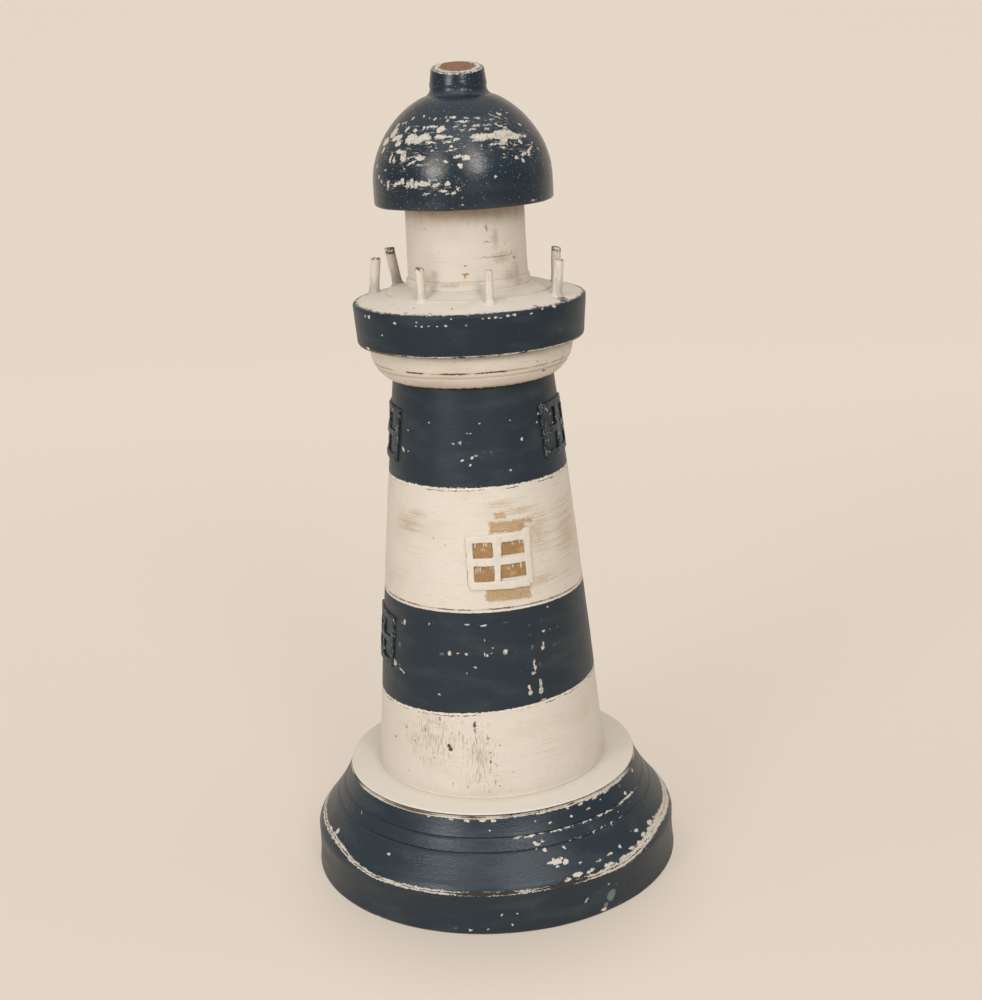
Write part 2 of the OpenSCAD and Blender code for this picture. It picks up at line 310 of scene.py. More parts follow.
paint = Finish("navy_and_white_base_paint", navy, 0.34, gloss=0.45)
paint.unroll(58)
tear = paint.grain(1.1, (1.4, 1.4, 0.8), detail=3, rough=0.6)
fine = paint.grain(0.5, detail=3, rough=0.6, start=3)
broken = paint.grain(2.4, (1.5, 1.5, 0.3), detail=3, rough=0.65, start=12)
paint.coat(paint.ramp(paint.grain(9, (2, 2, 0.6), start=8), 0.45, 0.75), faded_navy, 0.44)

brushed = paint.ramp(paint.height, 17, 20) * paint.ramp(paint.height, 31, 27)
paint.relief = paint.grain(0.7, (2.2, 2.2, 0.5), detail=3, start=5) * 0.1
thick_strokes = paint.grain(1.0, (1.6, 1.6, 0.6), detail=3, rough=0.6, start=25)
paint.relief = thick_strokes * brushed * 0.16 + paint.relief

shoulder_level, shoulder_rise = 14.9, 3.2
turned_away = paint.calc("ABSOLUTE", paint.turn)
shoulder = paint.height - paint.ramp(turned_away, 38, 68) * shoulder_rise + (tear - 0.5) * 1.1
off = paint.calc("ABSOLUTE", shoulder - shoulder_level)
thinner = paint.ramp(paint.turn, 2, 10) * paint.ramp(paint.turn, 24, 18)
thick = 0.62 + paint.ramp(paint.turn, 22, 44) * 0.5 - thinner * 0.25
thick = thick + paint.ramp(paint.turn, 22, 40) * (broken - 0.5) * 3
paint.coat(paint.ramp(off + (fine - 0.5) * 1.5 - thick, 0.12, -0.12), undercoat, 0.6, -0.06)
worn_through = paint.ramp(off + (broken - 0.5) * 3, 0.15, 0.0) * paint.ramp(paint.turn, -60, -45)
paint.coat(worn_through, undercoat, 0.6, -0.05)
opened = paint.patches([(-7, shoulder_level, 24, 9), (2, 15, 9, 6), (21, 14.6, 22, 7)]) * 1.6
opened = opened + paint.ramp(paint.turn, 64, 50) * 0.35
split_open = off + (fine - 0.5) * 0.8 - opened * 0.42 + (broken - 0.5) * 0.9
paint.coat(paint.ramp(split_open, 0.05, -0.1), crack, 0.7, -0.08)
paint.coat(
    paint.chips(
        [
            (24.5, 16.8, 4, 1.4), (21, 16.0, 2.4, 0.9), (29, 16.6, 4, 0.9, 0.2), (36, 16.4, 4.6, 1.2),
            (42, 16.4, 4, 1.2), (47, 17.6, 3, 1), (51, 17.4, 3, 1.4), (55, 18.6, 3, 1), (59, 18.6, 3, 1),
            (33, 18.4, 3, 0.6), (38, 18.8, 3.4, 0.6), (43, 19.4, 1.4, 1.1), (53, 20.6, 2.6, 1),
            (62, 19.4, 3, 1.2), (-72, 18.6, 3, 1.2), (130, 16, 12, 2.4), (165, 15.4, 16, 1.6),
            (-150, 15.8, 9, 2), (100, 16.2, 6, 1.6), (-110, 17, 6, 1.4),
        ]
    ),
    undercoat, 0.6,
)
dash = paint.grain(1.7, (1.6, 1.6, 0.7), detail=3, rough=0.65, start=33)
for level, first, last, rare in ((29.5, 5, 70, 0.48), (26, 27, 54, 0.56)):
    row = paint.near(paint.height - level + (fine - 0.5) * 0.7 + (tear - 0.5) * 0.6, 0.34, 0.2)
    row = row * paint.ramp(paint.turn, first, first + 3) * paint.ramp(paint.turn, last, last - 8)
    paint.coat(row * paint.ramp(dash, rare, rare + 0.05), undercoat, 0.6, -0.04)
cracks = [(26, 15.6, 6, 0.5), (31, 15.8, 5, 0.6, 0.2), (37, 15.9, 3, 0.4)]
paint.coat(paint.chips(cracks), crack, 0.7, -0.08)
for level in (30, 25.8):  # the two scored lines
    cut = paint.ramp(paint.calc("ABSOLUTE", paint.height - level) + (fine - 0.5) * 0.5, 0.25, 0.0)
    paint.coat(cut * paint.ramp(turned_away, 16, 4) * 0.6, crack, 0.5, -0.06)

rim_level = 36.2
rim = paint.calc("ABSOLUTE", paint.height - rim_level + (fine - 0.5) * 0.7)
left_rim = paint.ramp(paint.turn, -70, -62) * paint.ramp(paint.turn, 6, 0)
paint.coat(paint.ramp(rim, 0.6, 0.4) * (left_rim | paint.ramp(turned_away, 74, 82)), undercoat, 0.6, -0.06)
right_rim = paint.ramp(paint.turn, 0, 8) * paint.ramp(paint.turn, 72, 60)
ragged = rim + (tear - 0.5) * 1.6 + (broken - 0.5) * 1.4 - paint.ramp(paint.turn, 16, 40) * 0.3
paint.coat(paint.ramp(ragged, 0.42, 0.28) * right_rim, undercoat, 0.6, -0.05)
worn_rim = paint.patches([(-34, rim_level, 26, 9), (-9, 36.4, 10, 4), (30, 35.4, 5, 4)])
paint.coat(paint.ramp(rim + (broken - 0.5) * 0.5 - worn_rim * 0.35, 0.1, -0.05), bare_brown, 0.7, -0.05)
paint.coat(
    paint.chips(
        [
            (34, 35.2, 3, 0.8), (41, 35.3, 3, 0.9), (47, 35.2, 2, 0.8), (28, 35.2, 1.6, 0.7),
            (70.7, 34.3, 2, 1, 0.5), (-17, 35.3, 2.2, 0.8), (-11, 35.2, 2.6, 1.1), (-5, 35.3, 3.4, 0.8),
            (-1, 35.2, 2.4, 1), (-26, 35.4, 2, 0.6), (110, 36, 8, 1.2), (150, 36, 14, 1),
            (-160, 36, 9, 1.3), (-120, 36, 7, 1),
        ]
    ),
    undercoat, 0.6,
)
paint.coat(
    paint.chips(
        [
            (-67.2, 19.8, 2.1, 1.9, 0.3), (-38.7, 22, 2, 0.8, -0.3), (-58.7, 28.9, 2, 0.4, -0.7),
            (-2.7, 32.2, 0.8, 0.6), (13.1, 27.3, 1.4, 1.4), (15.9, 27.6, 1.7, 0.8), (14.3, 26.9, 2, 0.7),
            (13.3, 25.6, 0.8, 0.5), (15.9, 25, 1.7, 0.9), (22.9, 24.5, 1.5, 0.8, -0.4), (16.7, 21.3, 2, 0.9),
            (18.5, 21.4, 2.4, 2), (19.9, 21.3, 2.1, 1.5), (21, 21.9, 1, 0.8), (22, 20.7, 2.1, 1.5),
            (18.9, 20, 1.4, 0.8), (26.7, 19.5, 1.2, 0.7), (26, 26, 1.4, 0.5, 0.3), (30, 25.9, 1.6, 0.6, 0.3),
            (35.9, 26, 1.9, 0.6, 0.4), (39.5, 26.1, 1.6, 0.7, 0.4), (41.2, 26.2, 0.7, 0.5),
            (44.4, 25.9, 1.3, 1.1, 0.6), (49.8, 27.7, 0.8, 0.5), (50.9, 21.2, 0.9, 0.4),
            (61.5, 19.7, 3.3, 1.3), (28.8, 32.5, 1, 0.9), (36.9, 33, 2.4, 0.7), (20.1, 32.3, 1.8, 0.6, 0.3),
            (14.4, 33.7, 1, 0.5), (43.7, 34, 0.9, 0.6), (58, 31, 2, 1.1), (0.3, 7, 0.8, 1),
            (4.8, 7, 0.8, 0.6),
            (3.1, 3, 0.8, 1.1), (26.7, 6.9, 0.6, 2.6, 0.8), (32.5, 1.3, 2.1, 1.4), (-9.2, 1.7, 1.4, 0.9),
            (-3.9, 2, 0.8, 0.7), (-39.9, 0.3, 1.2, 0.7), (35, 9.8, 0.9, 0.6),
            (130, 24, 4, 2.4), (160, 27, 2, 1.2), (-150, 22, 5, 2), (-120, 28, 2.4, 1.6), (105, 22, 2, 3),
            (170, 6, 3, 2), (-140, 8, 2, 3), (120, 3, 4, 1.6),
        ]
    ),
    undercoat, 0.6,
)
paint.coat(
    paint.chips(
        [
            (-70.7, 26.5, 1.8, 0.8), (-65.4, 29.6, 1.3, 0.3), (22.4, 25.6, 1.1, 0.5),
            (31, 21.3, 1.8, 0.5, 0.2), (35.6, 27.5, 2.3, 0.5, 0.4), (56.8, 34.1, 1.4, 1.6, -0.3),
            (57.7, 27.9, 2.1, 0.7), (35.8, 5.2, 3.5, 4.7, 0.5), (33.4, 2.5, 2.1, 2.1), (37.9, 8.7, 0.8, 1.1),
            (-13.6, 2, 1.4, 0.7), (38.8, 1.1, 3.2, 0.6, 0.5), (9.5, 9.6, 0.7, 0.5), (20.7, 12, 0.6, 0.5),
        ],
        0.5,
    ) * 0.8,
    worn_grey, 0.6,
)

paint.coat(paint.ramp(paint.height + (broken - 0.5) * 1.2, 0.7, 0.3) * 0.6, bare_brown, 0.7)
paint.coat(paint.ramp(paint.height + (fine - 0.5) * 0.3, 37.0, 37.25), off_white, 0.5, 0.03)
# Painted shade with some grime: the flat top darkens towards the tower's foot, where shade falls in the
# corner.
foot_grime_and_shade = paint.ramp(paint.radius + paint.grain(6, start=2) * 3, 45.5, 42.5) * 0.35
paint.coat(foot_grime_and_shade * paint.ramp(paint.height, 37.3, 37.5), aged_and_shaded_white)
unpainted = paint.ramp(paint.height, 0.12, 0.04) | paint.ramp(paint.radius, 30, 29.8)
rings_of_wood = paint.ramp(paint.grain(1.2, (14, 1, 14), detail=3, rough=0.6, start=60), 0.45, 0.68)
paint.coat(unpainted, light_wood, 0.65)
paint.coat(unpainted * rings_of_wood, late_wood)
paint.dry(plinth)

# --- Tower ---------------------------------------------------------------------------------------
# A turned taper of the same wood on a hidden tenon in the plinth. It is painted off-white, with two
# navy bands brushed over it up to a scored line, and rubbed until specks of the undercoat show. The
# off-white bands keep the open pores, scratches and stains of the wood under them.

tower = turn_on_lathe("tower", math.radians(180), bare_inside=0.02, pitch=0.0014)
work_by_hand(tower, size=0.018, depth=0.00022)
stand_for(tower, ["tower"])

stain = (0.47, 0.36, 0.24)
deep_stain = (0.36, 0.25, 0.14)
streak_brown = (0.40, 0.29, 0.18)
rubbed_wood = (0.42, 0.275, 0.13)
rubbed_grain = (0.28, 0.16, 0.07)
pane_brown = (0.33, 0.195, 0.08)
pane_grain = (0.20, 0.105, 0.04)
pane_light = (0.50, 0.33, 0.17)
pore_brown = (0.36, 0.28, 0.20)
speck_brown = (0.24, 0.15, 0.08)
hole_brown = (0.085, 0.055, 0.032)
fresh_white = (0.74, 0.68, 0.59)
bead_white_and_highlight = (0.72, 0.67, 0.60)
scored_brown = (0.19, 0.085, 0.03)


def beyond(paint, direction, at, wide, high, girth, fall=0.0):
    """How far, in mm, beyond the sides of a rectangle on the surface that falls to the right."""
    across = paint.calc("ABSOLUTE", (paint.turn - direction) * (girth * math.pi / 180)) - wide / 2
    middle = paint.height - at + paint.sideways * fall if fall else paint.height - at
    return across | paint.calc("ABSOLUTE", middle) - high / 2


paint = Finish("banded_tower_paint", off_white, 0.5, gloss=0.4)
paint.unroll(33)
tear = paint.grain(1.0, (1.3, 1.3, 0.8), detail=3, rough=0.6)
fine = paint.grain(0.45, detail=3, rough=0.6, start=3)
pores = paint.grain(0.5, upright, detail=3, rough=0.6, start=7)
lines = paint.grain(1.2, (14, 14, 0.4), detail=3, rough=0.65, start=11)
paint.coat(paint.ramp(paint.grain(16, (1, 1, 0.6), detail=3), 0.45, 0.8) * 0.4, aged_and_shaded_white)
paint.coat(paint.ramp(lines, 0.56, 0.72) * 0.3, aged_and_shaded_white, raised=-0.03)

ageing = paint.patches(
    [
        (-50, 132, 20, 12), (-42, 136, 14, 5), (35, 128, 16, 26), (26, 137, 22, 5), (12, 140, 16, 4),
        (35, 112, 18, 8), (62, 125, 26, 36),
    ]
)
aged = ageing * 0.5 + (fine - 0.5) * 0.7 + (lines - 0.5) * 1.3
streaks = paint.grain(1.3, (3, 3, 0.5), detail=3, rough=0.65, start=17)
paint.coat(paint.ramp(aged, 0.08, 0.5) * 0.6, stain)
paint.coat(paint.ramp(ageing * 0.12 + fine * 0.5 + tear * 0.4, 0.56, 0.62) * 0.4, deep_stain)
paint.coat(paint.ramp(streaks, 0.64, 0.72) * 0.35, streak_brown)

open_wood = 0.0
for place in (
    (15.8, 132.3, 12.4, 3.6), (11.6, 136.3, 3.4, 1.8), (27.2, 133.6, 5.4, 1.2), (6.6, 131.6, 1.6, 1.4),
    (13.9, 109.6, 14.6, 4.4),
):
    torn_edge = beyond(paint, *place, girth=32.6, fall=0.03) + (pores - 0.5) * 3.2 + (tear - 0.5) * 1.8
    open_wood = paint.ramp(torn_edge, 0.35, -0.15) | open_wood
paint.coat(open_wood * 0.9, rubbed_wood, 0.6, -0.03)
paint.coat(open_wood * paint.ramp(pores, 0.5, 0.64) * 0.6, rubbed_grain, 0.6, -0.03)
paint.coat(open_wood * paint.ramp(lines, 0.52, 0.6) * 0.5, aged_and_shaded_white)

pane_wood = 0.0
for place in (
    (0.3, 125.2, 11.4, 6.4), (18, 125.8, 12.4, 6.6),
    (0.6, 116.8, 11.4, 5.6), (18, 117.8, 12.4, 6.2),
):
    pane_wood = paint.ramp(beyond(paint, *place, girth=33.6), 0.1, -0.1) | pane_wood
high_panes = paint.ramp(paint.height, 125, 127)
low_panes = paint.ramp(paint.height, 116.5, 118.5) * paint.ramp(paint.height, 121.4, 121)
dripped = paint.ramp(paint.grain(0.6, (0.8, 0.8, 6), detail=2, start=21), 0.58, 0.62)
dripped = dripped * (high_panes | low_panes)
paint.coat(pane_wood, pane_brown, 0.6, -0.05)
paint.coat(pane_wood * paint.ramp(pores, 0.48, 0.64) * 0.6, pane_grain, 0.65, -0.04)
paint.coat(pane_wood * paint.ramp(paint.grain(2.6, start=19), 0.52, 0.7) * 0.6, pane_light)
paint.coat(pane_wood * dripped, off_white, 0.5, 0.05)

foot_pores = paint.patches([(-30, 58, 44, 30), (-6, 52, 20, 40), (150, 55, 60, 34), (-120, 60, 40, 30)])
foot_grain = paint.grain(0.45, (0.8, 0.8, 9), detail=3, rough=0.6, start=15)
paint.coat(paint.ramp(foot_pores * 0.18 + foot_grain * 0.85, 0.57, 0.65) * 0.6, pore_brown, 0.65, -0.08)
paint.coat(
    paint.chips(
        [
            (-29.1, 128.5, 0.9, 1.2), (-8.4, 130.2, 0.7, 0.5), (-10.6, 120.3, 0.6, 2), (-9.5, 116.1, 0.5, 1),
            (-1.8, 136.2, 0.9, 0.5), (-14.6, 140.5, 0.5, 0.4), (-20.6, 120.1, 0.6, 1.2, -0.5),
            (-21.9, 126.6, 1.7, 0.8, -0.2), (-16.9, 124, 0.5, 1.7), (-55, 135.5, 1.8, 0.5, -0.2),
            (-57.7, 133.1, 1, 0.5), (26.9, 112.7, 1.3, 1.4), (29.4, 120.7, 0.6, 2.4), (29.3, 130, 1.2, 0.7),
            (40.7, 127.6, 0.7, 1.3), (10.4, 140.6, 0.5, 1), (26.9, 137.1, 0.9, 0.5), (81.1, 126.5, 0.6, 0.5),
            (-3.9, 133.3, 0.4, 1.7), (-14.4, 106.3, 0.7, 0.4), (-32.6, 108.9, 0.5, 0.6),
            (-21.6, 108.8, 0.7, 0.8),
        ],
        0.5,
    ) * 0.75,
    speck_brown, 0.65,
)
paint.coat(
    paint.chips(
        [
            (-21.9, 56.2, 1.5, 1.8), (-21.2, 55.1, 1.6, 1.6), (-20.3, 55.7, 0.7, 1.1), (-8.4, 64.5, 1.3, 2.7),
            (-8.3, 62.3, 0.7, 3.2), (-8.1, 59.4, 0.5, 4.3), (-2.1, 59.8, 0.7, 2.7, -0.3),
            (-1.1, 54.3, 0.7, 1.2), (-1.5, 51.1, 0.9, 1.8), (-9.6, 54.7, 0.6, 0.8), (-30.2, 51.3, 0.8, 0.8),
            (-46.6, 43.7, 0.9, 0.6), (-48.8, 59.4, 0.8, 1.1), (-42.3, 55.6, 0.7, 0.9), (-58.2, 54, 1.1, 1.1),
            (3.8, 56.9, 0.6, 0.8), (10, 46.8, 0.6, 1.1), (-26.8, 65.6, 0.7, 2.2), (-35.8, 60.9, 0.6, 4.4),
            (-20.5, 42.7, 0.4, 3.3), (-19.8, 39.2, 1.1, 0.4), (-12.9, 42, 0.6, 1.5), (-2.7, 40.6, 0.4, 2.9),
            (0.7, 43.8, 0.4, 2.9), (2.9, 42.2, 0.5, 1.1), (-40, 67.1, 0.6, 0.7), (-14.6, 59.6, 0.5, 5),
            (-5.4, 67.6, 0.4, 1.4),
        ],
        0.3,
    ),
    hole_brown, 0.7,
)
# Painted shade with some grime: the tower darkens towards its foot, in the corner on the plinth.
paint.coat(paint.ramp(paint.height + paint.grain(5, start=4) * 5, 45, 39.5) * 0.35, aged_and_shaded_white)
# A raised bead of paint around the tower's foot, coloured brighter than the white as a painted highlight.
paint.coat(paint.line(38.6, 0.5, 0.3, wobble=tear * 0.6) * 0.7, bead_white_and_highlight, 0.4, 0.1)

low_band_foot, low_band_top, high_band_foot = 68.9, 103.9, 145.9
lean = paint.sideways * 0.055
ragged = (tear - 0.5) * 1.3 + (fine - 0.5) * 0.9
low_edge = paint.height - lean - low_band_foot + ragged
high_edge = paint.height - high_band_foot + ragged
below_score = paint.ramp(paint.height + tear * 0.5, low_band_top, low_band_top - 0.25)
low_band = paint.ramp(low_edge, -0.1, 0.15) * below_score
high_band = paint.ramp(high_edge, -0.1, 0.15)
banded = low_band | high_band
lip = paint.grain(2.2, (2.2, 2.2, 0.4), detail=3, rough=0.65, start=30)
for edge in (low_edge, high_edge):
    paint.coat(paint.near(edge + 0.95, 0.22, 0.08) * paint.ramp(lip, 0.5, 0.56) * 0.85, crack, 0.6, -0.05)
    paint.coat(paint.near(edge + 0.4, 0.42, 0.28) * paint.ramp(lip, 0.44, 0.5), fresh_white, 0.45, 0.06)
paint.coat(banded, navy, 0.43, 0.06)
paint.coat(banded * paint.ramp(paint.grain(8, (2, 2, 0.7), start=8), 0.45, 0.75), faded_navy)
thin_or_whole = 0.35 + paint.ramp(fine + tear, 0.8, 1.0) * 0.65
paint.coat(
    banded * thin_or_whole * paint.chips(
        [
            (-32.7, 167.2, 1, 0.7, 0.3), (2.5, 167.1, 1.1, 0.5, -0.2), (-50.9, 163.6, 1.2, 0.5),
            (-55.8, 156.6, 2.9, 1.1, -0.6), (-50.4, 156.4, 1.3, 0.5), (-5.8, 164, 0.7, 0.6),
            (-3.8, 164.1, 0.9, 0.6, 0.2), (-15.4, 160.7, 1.2, 0.7, 0.1), (-10.7, 161.1, 1.4, 0.8),
            (-10.6, 160.6, 0.7, 0.6), (-3.4, 156, 1.6, 1, 0.5), (-0.7, 156.5, 1.2, 0.8, -0.2),
            (-9.7, 155.1, 1.7, 0.8, 0.35), (-4.9, 153.6, 1.1, 0.7, 0.4), (23.2, 167.1, 1.1, 0.7),
            (30.7, 160.3, 1.5, 1.2), (20.7, 150.7, 0.8, 1, 0.7), (51.8, 169.8, 1.1, 0.6), (60.7, 168, 1.1, 1),
            (57.7, 167.3, 1.7, 0.7, 0.6), (47.7, 167.4, 2, 0.9, 0.2), (61.1, 165.6, 1.7, 0.5, 0.5),
            (50.2, 163.4, 0.9, 1.1, 0.8), (48.6, 162.4, 1.3, 0.6), (44.7, 164.6, 1.3, 0.7, 0.5),
            (63, 162.4, 1.4, 0.6), (49.3, 160.7, 1.3, 0.5, -0.3),
            (-52.6, 96.3, 2.7, 0.5, -0.2), (-51, 97.1, 0.8, 2.1), (-32.7, 98.7, 0.8, 0.7),
            (-30, 99.4, 0.6, 0.4), (-10.7, 99.6, 2.2, 0.6), (-1.3, 99.1, 2.9, 0.7), (-1.3, 94.1, 0.5, 1),
            (-20.6, 89.3, 1.2, 2), (-15.9, 89.5, 0.8, 1, 0.6), (-11.4, 89.4, 1.2, 1.2, 0.5),
            (-1.4, 89.2, 0.6, 2.4), (0.1, 88.8, 0.8, 1), (2, 89.4, 0.9, 0.6), (-6.9, 84.7, 1.2, 0.7),
            (-11.5, 82.6, 0.5, 0.8), (-27.1, 74.3, 0.9, 1.1, -0.8), (-60.7, 80.7, 3, 2.3),
            (-53, 79.2, 4.2, 0.7, -0.45), (9.5, 89.5, 1.6, 2.1), (3, 91.2, 0.7, 0.6), (31.2, 88.3, 1.3, 1.5),
            (31.6, 89.7, 0.8, 1.7), (32.3, 94, 1.5, 0.9), (36.9, 102, 0.9, 0.7), (25, 84, 0.8, 2.8),
            (25.4, 82.2, 0.9, 3.1), (24.1, 80.4, 1.9, 0.9), (21.4, 75.7, 1.1, 2.2), (21.6, 73.8, 1.2, 2.1),
            (28, 75.3, 1.2, 4.2), (27.6, 73.6, 1.4, 2.3), (27.5, 77.3, 0.7, 1.4), (34.8, 69.8, 3, 0.9),
            (28.9, 70.3, 2, 0.7), (46.2, 104.2, 1.3, 1.4),
            (75, 160, 1.2, 2.4), (95, 168, 2, 1), (110, 156, 3, 1.2), (135, 163, 1.4, 1),
            (150, 152, 2, 1.6), (-170, 165, 2.4, 1), (-150, 158, 1.5, 1.5), (-125, 167, 2, 1.2),
            (-100, 150, 1.6, 1), (-160, 94, 5, 0.8), (-168, 88, 3, 1.6), (165, 82, 1.2, 5),
            (140, 90, 4, 1), (120, 99, 2, 1), (95, 78, 1, 4), (100, 92, 2.4, 1.2), (-95, 84, 2, 3),
            (-110, 96, 3, 1), (-135, 76, 1.6, 3),
        ]
    ),
    undercoat, 0.55,
)
paint.coat(
    banded * paint.chips(
        [
            (-57, 164.3, 1.7, 0.5, 0.3), (-53, 160.2, 1.5, 0.6, 0.3), (-4.9, 161.1, 0.8, 0.6),
            (-2.9, 161.1, 0.7, 0.5), (-1.4, 159, 0.5, 0.7), (4.9, 157.6, 0.7, 0.7), (2.6, 155.9, 1.3, 0.6),
            (-20.2, 155.6, 0.6, 0.4, 0.5), (20, 167, 0.8, 0.4), (16.6, 167.7, 0.5, 0.4),
            (8.8, 157.3, 0.9, 1.3, -0.6), (9.6, 156.3, 0.7, 0.7), (18.8, 148.7, 0.5, 0.4),
            (23, 149.1, 0.5, 0.4), (55.7, 169.3, 0.8, 0.6), (58.4, 165.3, 1.1, 0.4), (51.3, 165, 0.7, 0.6),
            (42.1, 161.6, 0.6, 0.4), (62.2, 159.1, 1.5, 0.4, 0.5),
            (-4.7, 99.5, 1, 0.5), (-3.5, 102.6, 0.7, 0.5), (-1, 102.7, 1, 0.4), (-20.6, 99.5, 1.1, 0.4),
            (-21.1, 94.1, 0.4, 1.4), (-6.6, 94, 0.5, 1), (1.1, 93.8, 1, 0.5), (-24.9, 88.7, 2.3, 1.2),
            (-9, 89.8, 0.6, 0.7), (-6.5, 81.9, 0.4, 0.7), (-55.2, 81, 1.6, 0.9), (-52.4, 85.3, 0.8, 0.5),
            (-55.6, 88.2, 1.9, 1.8), (10.5, 99.5, 2, 0.8), (24.3, 97.2, 1.1, 1), (31.7, 97.9, 0.6, 2.1),
            (31.6, 96, 0.5, 1), (36.8, 94, 1.3, 1.1, 0.5), (42.7, 93.9, 0.9, 1), (23.8, 93.9, 1.5, 0.7),
            (11.4, 93.7, 0.7, 0.5), (15.6, 88.9, 0.7, 0.8), (1.5, 89.3, 1, 0.7), (24.8, 89.5, 1.1, 2.8),
            (39.1, 88.2, 2.2, 0.7, 0.6), (41.8, 88.5, 0.9, 0.7), (37, 84.6, 0.7, 0.7), (28.5, 83.1, 0.8, 2.1),
            (17, 82, 0.7, 0.7), (27.4, 71.8, 0.7, 2.1),
        ],
        0.4,
    ) * 0.55,
    worn_grey, 0.5,
)
scored = paint.line(104.55, 0.42, 0.15, wobble=(fine - 0.5) * 0.9 + (tear - 0.5) * 0.6)
whole_score = paint.ramp(paint.grain(2.6, (2, 2, 0.6), detail=3, start=40), 0.43, 0.47)
paint.coat(scored * whole_score, scored_brown, 0.7, -0.12)
paint.relief = paint.grain(0.7, (2.5, 2.5, 0.5), detail=3, start=5) * 0.06 + paint.relief
paint.dry(tower)

# --- Window frames -------------------------------------------------------------------------------
# Four frames of two panes by two, glued on the tower as thin wooden bars and thickly painted over by
# hand, so that their corners are soft and no bar is quite true. Bare wood shows in the panes.


def radius_at(piece, height):
    """A turned piece's radius at a height, measured at the back."""
    bpy.context.view_layer.update()
    return piece.ray_cast((0, 0.1, height), (0, -1, 0))[1].xy.length


def lay_bars(name, direction, middle, bars, thick=0.0009):
    """Bars given by their ends and the width at each, in mm from the frame's middle, seen from outside."""
    made = []
    for x0, y0, start, x1, y1, end in bars:
        length = math.hypot(x1 - x0, y1 - y0) / 1000
        bpy.ops.mesh.primitive_cube_add(size=1, location=(0, 0, 0))
        bar = bpy.context.object
        for corner in bar.data.vertices:
            corner.co.y *= start / 1000 if corner.co.x < 0 else end / 1000
        bar.scale = (length, 1, thick)
        bar.rotation_euler = (0, 0, math.atan2(y1 - y0, x1 - x0))
        bar.location = ((x0 + x1) / 2000, (y0 + y1) / 2000, thick / 2 - 0.0002)
        bpy.ops.object.transform_apply(location=True, rotation=True, scale=True)
        made.append(bar)
    bpy.ops.object.select_all(action="DESELECT")
    for bar in made:
        bar.select_set(True)
    bpy.context.view_layer.objects.active = made[0]
    bpy.ops.object.join()
    piece = made[0]
    piece.name = name
    weld = piece.modifiers.new("weld", "REMESH")
    weld.mode, weld.voxel_size = "VOXEL", 0.00022
    soften = piece.modifiers.new("soften", "SMOOTH")
    soften.factor, soften.iterations = 0.5, 5
    lumps = bpy.data.textures.new(name + "_lumps", "CLOUDS")
    lumps.noise_scale, lumps.noise_depth = 0.003, 1
    push = piece.modifiers.new("lumps", "DISPLACE")
    push.texture, push.strength, push.texture_coords = lumps, 0.0005, "LOCAL"
    choose(piece)
    for modifier in ("weld", "soften", "lumps"):
        bpy.ops.object.modifier_apply(modifier=modifier)
    low, high = radius_at(tower, middle - 0.008), radius_at(tower, middle + 0.008)
    for vertex in piece.data.vertices:
        x, y, out = vertex.co
        radius = (low + high) / 2 + (high - low) * y / 0.016
        angle = math.radians(direction) + x / radius
        vertex.co = Vector((math.sin(angle), -math.cos(angle), 0)) * (radius + out)
        vertex.co.z = middle + y
    bpy.ops.object.shade_smooth()
    return piece


front_bars = [
    (-9.6, 8.3, 2.3, -9.7, -8.9, 2.1), (10.1, 9.6, 2.3, 10.3, -9.3, 2.2), (-10.2, 7.3, 2.2, 9.9, 7.2, 3.0),
    (-0.4, 7, 3.1, -0.9, -8, 1.8), (-9.6, -0.4, 2.7, 10, -0.7, 2.2), (-10, -8.4, 2.6, 10.2, -9.0, 2.8),
]
side_bars = [
    (-9.0, 9, 2.2, -9.1, -8.8, 2.2), (9.0, 9, 2.3, 9.1, -9, 2.3), (-9.8, 8.0, 2.2, 9.8, 8.1, 2.2),
    (-9, -0.2, 2.1, 9, 0.1, 2.1), (0.1, 8, 2.2, -0.1, -8, 2.2), (-9.8, -8.2, 2.2, 9.8, -8.1, 2.2),
]
window_front = lay_bars("front_window_bars", 9.3, 0.1213, front_bars)
window_upper_left = lay_bars("upper_left_window_bars", -81, 0.1609, side_bars)
window_upper_right = lay_bars("upper_right_window_bars", 68, 0.1609, side_bars)
window_lower_left = lay_bars("lower_left_window_bars", -77, 0.0880, side_bars)
stand_for(window_front, ["window_front"])
stand_for(window_upper_left, ["window_upper_left"])
stand_for(window_upper_right, ["window_upper_right"])
stand_for(window_lower_left, ["window_lower_left"])

pin_brown = (0.36, 0.26, 0.17)
paint = Finish("white_window_paint", off_white, 0.46, gloss=0.4)
paint.coat(paint.ramp(paint.grain(2.5, detail=3), 0.5, 0.75) * 0.35, aged_and_shaded_white)
paint.coat(paint.ramp(paint.grain(0.5, upright, start=9), 0.68, 0.73) * 0.5, pin_brown, 0.6)
paint.relief = paint.grain(0.6, detail=3) * 0.07
paint.dry(window_front)

paint = Finish("navy_window_paint", navy, 0.42, gloss=0.35)
paint.coat(paint.ramp(paint.grain(3, detail=2), 0.5, 0.75), faded_navy)
chipped = paint.ramp(paint.grain(0.8, (0.8, 0.8, 1.6), detail=3, rough=0.6), 0.62, 0.66)
paint.coat(chipped, undercoat, 0.55, -0.05)
scuffed = paint.ramp(paint.grain(1.6, (1, 1, 2), detail=3, rough=0.6, start=6), 0.58, 0.66) * 0.4
paint.coat(scuffed, worn_grey, 0.5, -0.03)
paint.relief = paint.grain(0.6, detail=3) * 0.07 + paint.relief
paint.dry(window_upper_left, window_upper_right, window_lower_left)

# --- Gallery collar ------------------------------------------------------------------------------
# A rounded moulding turned to carry the deck, painted off-white. The scored line around it is worn
# to the wood. Along its upper edge, under the deck, a dark band is painted as shade, with a little of
# the deck's navy bled into it, and its foot is darkened with grime and painted shade.

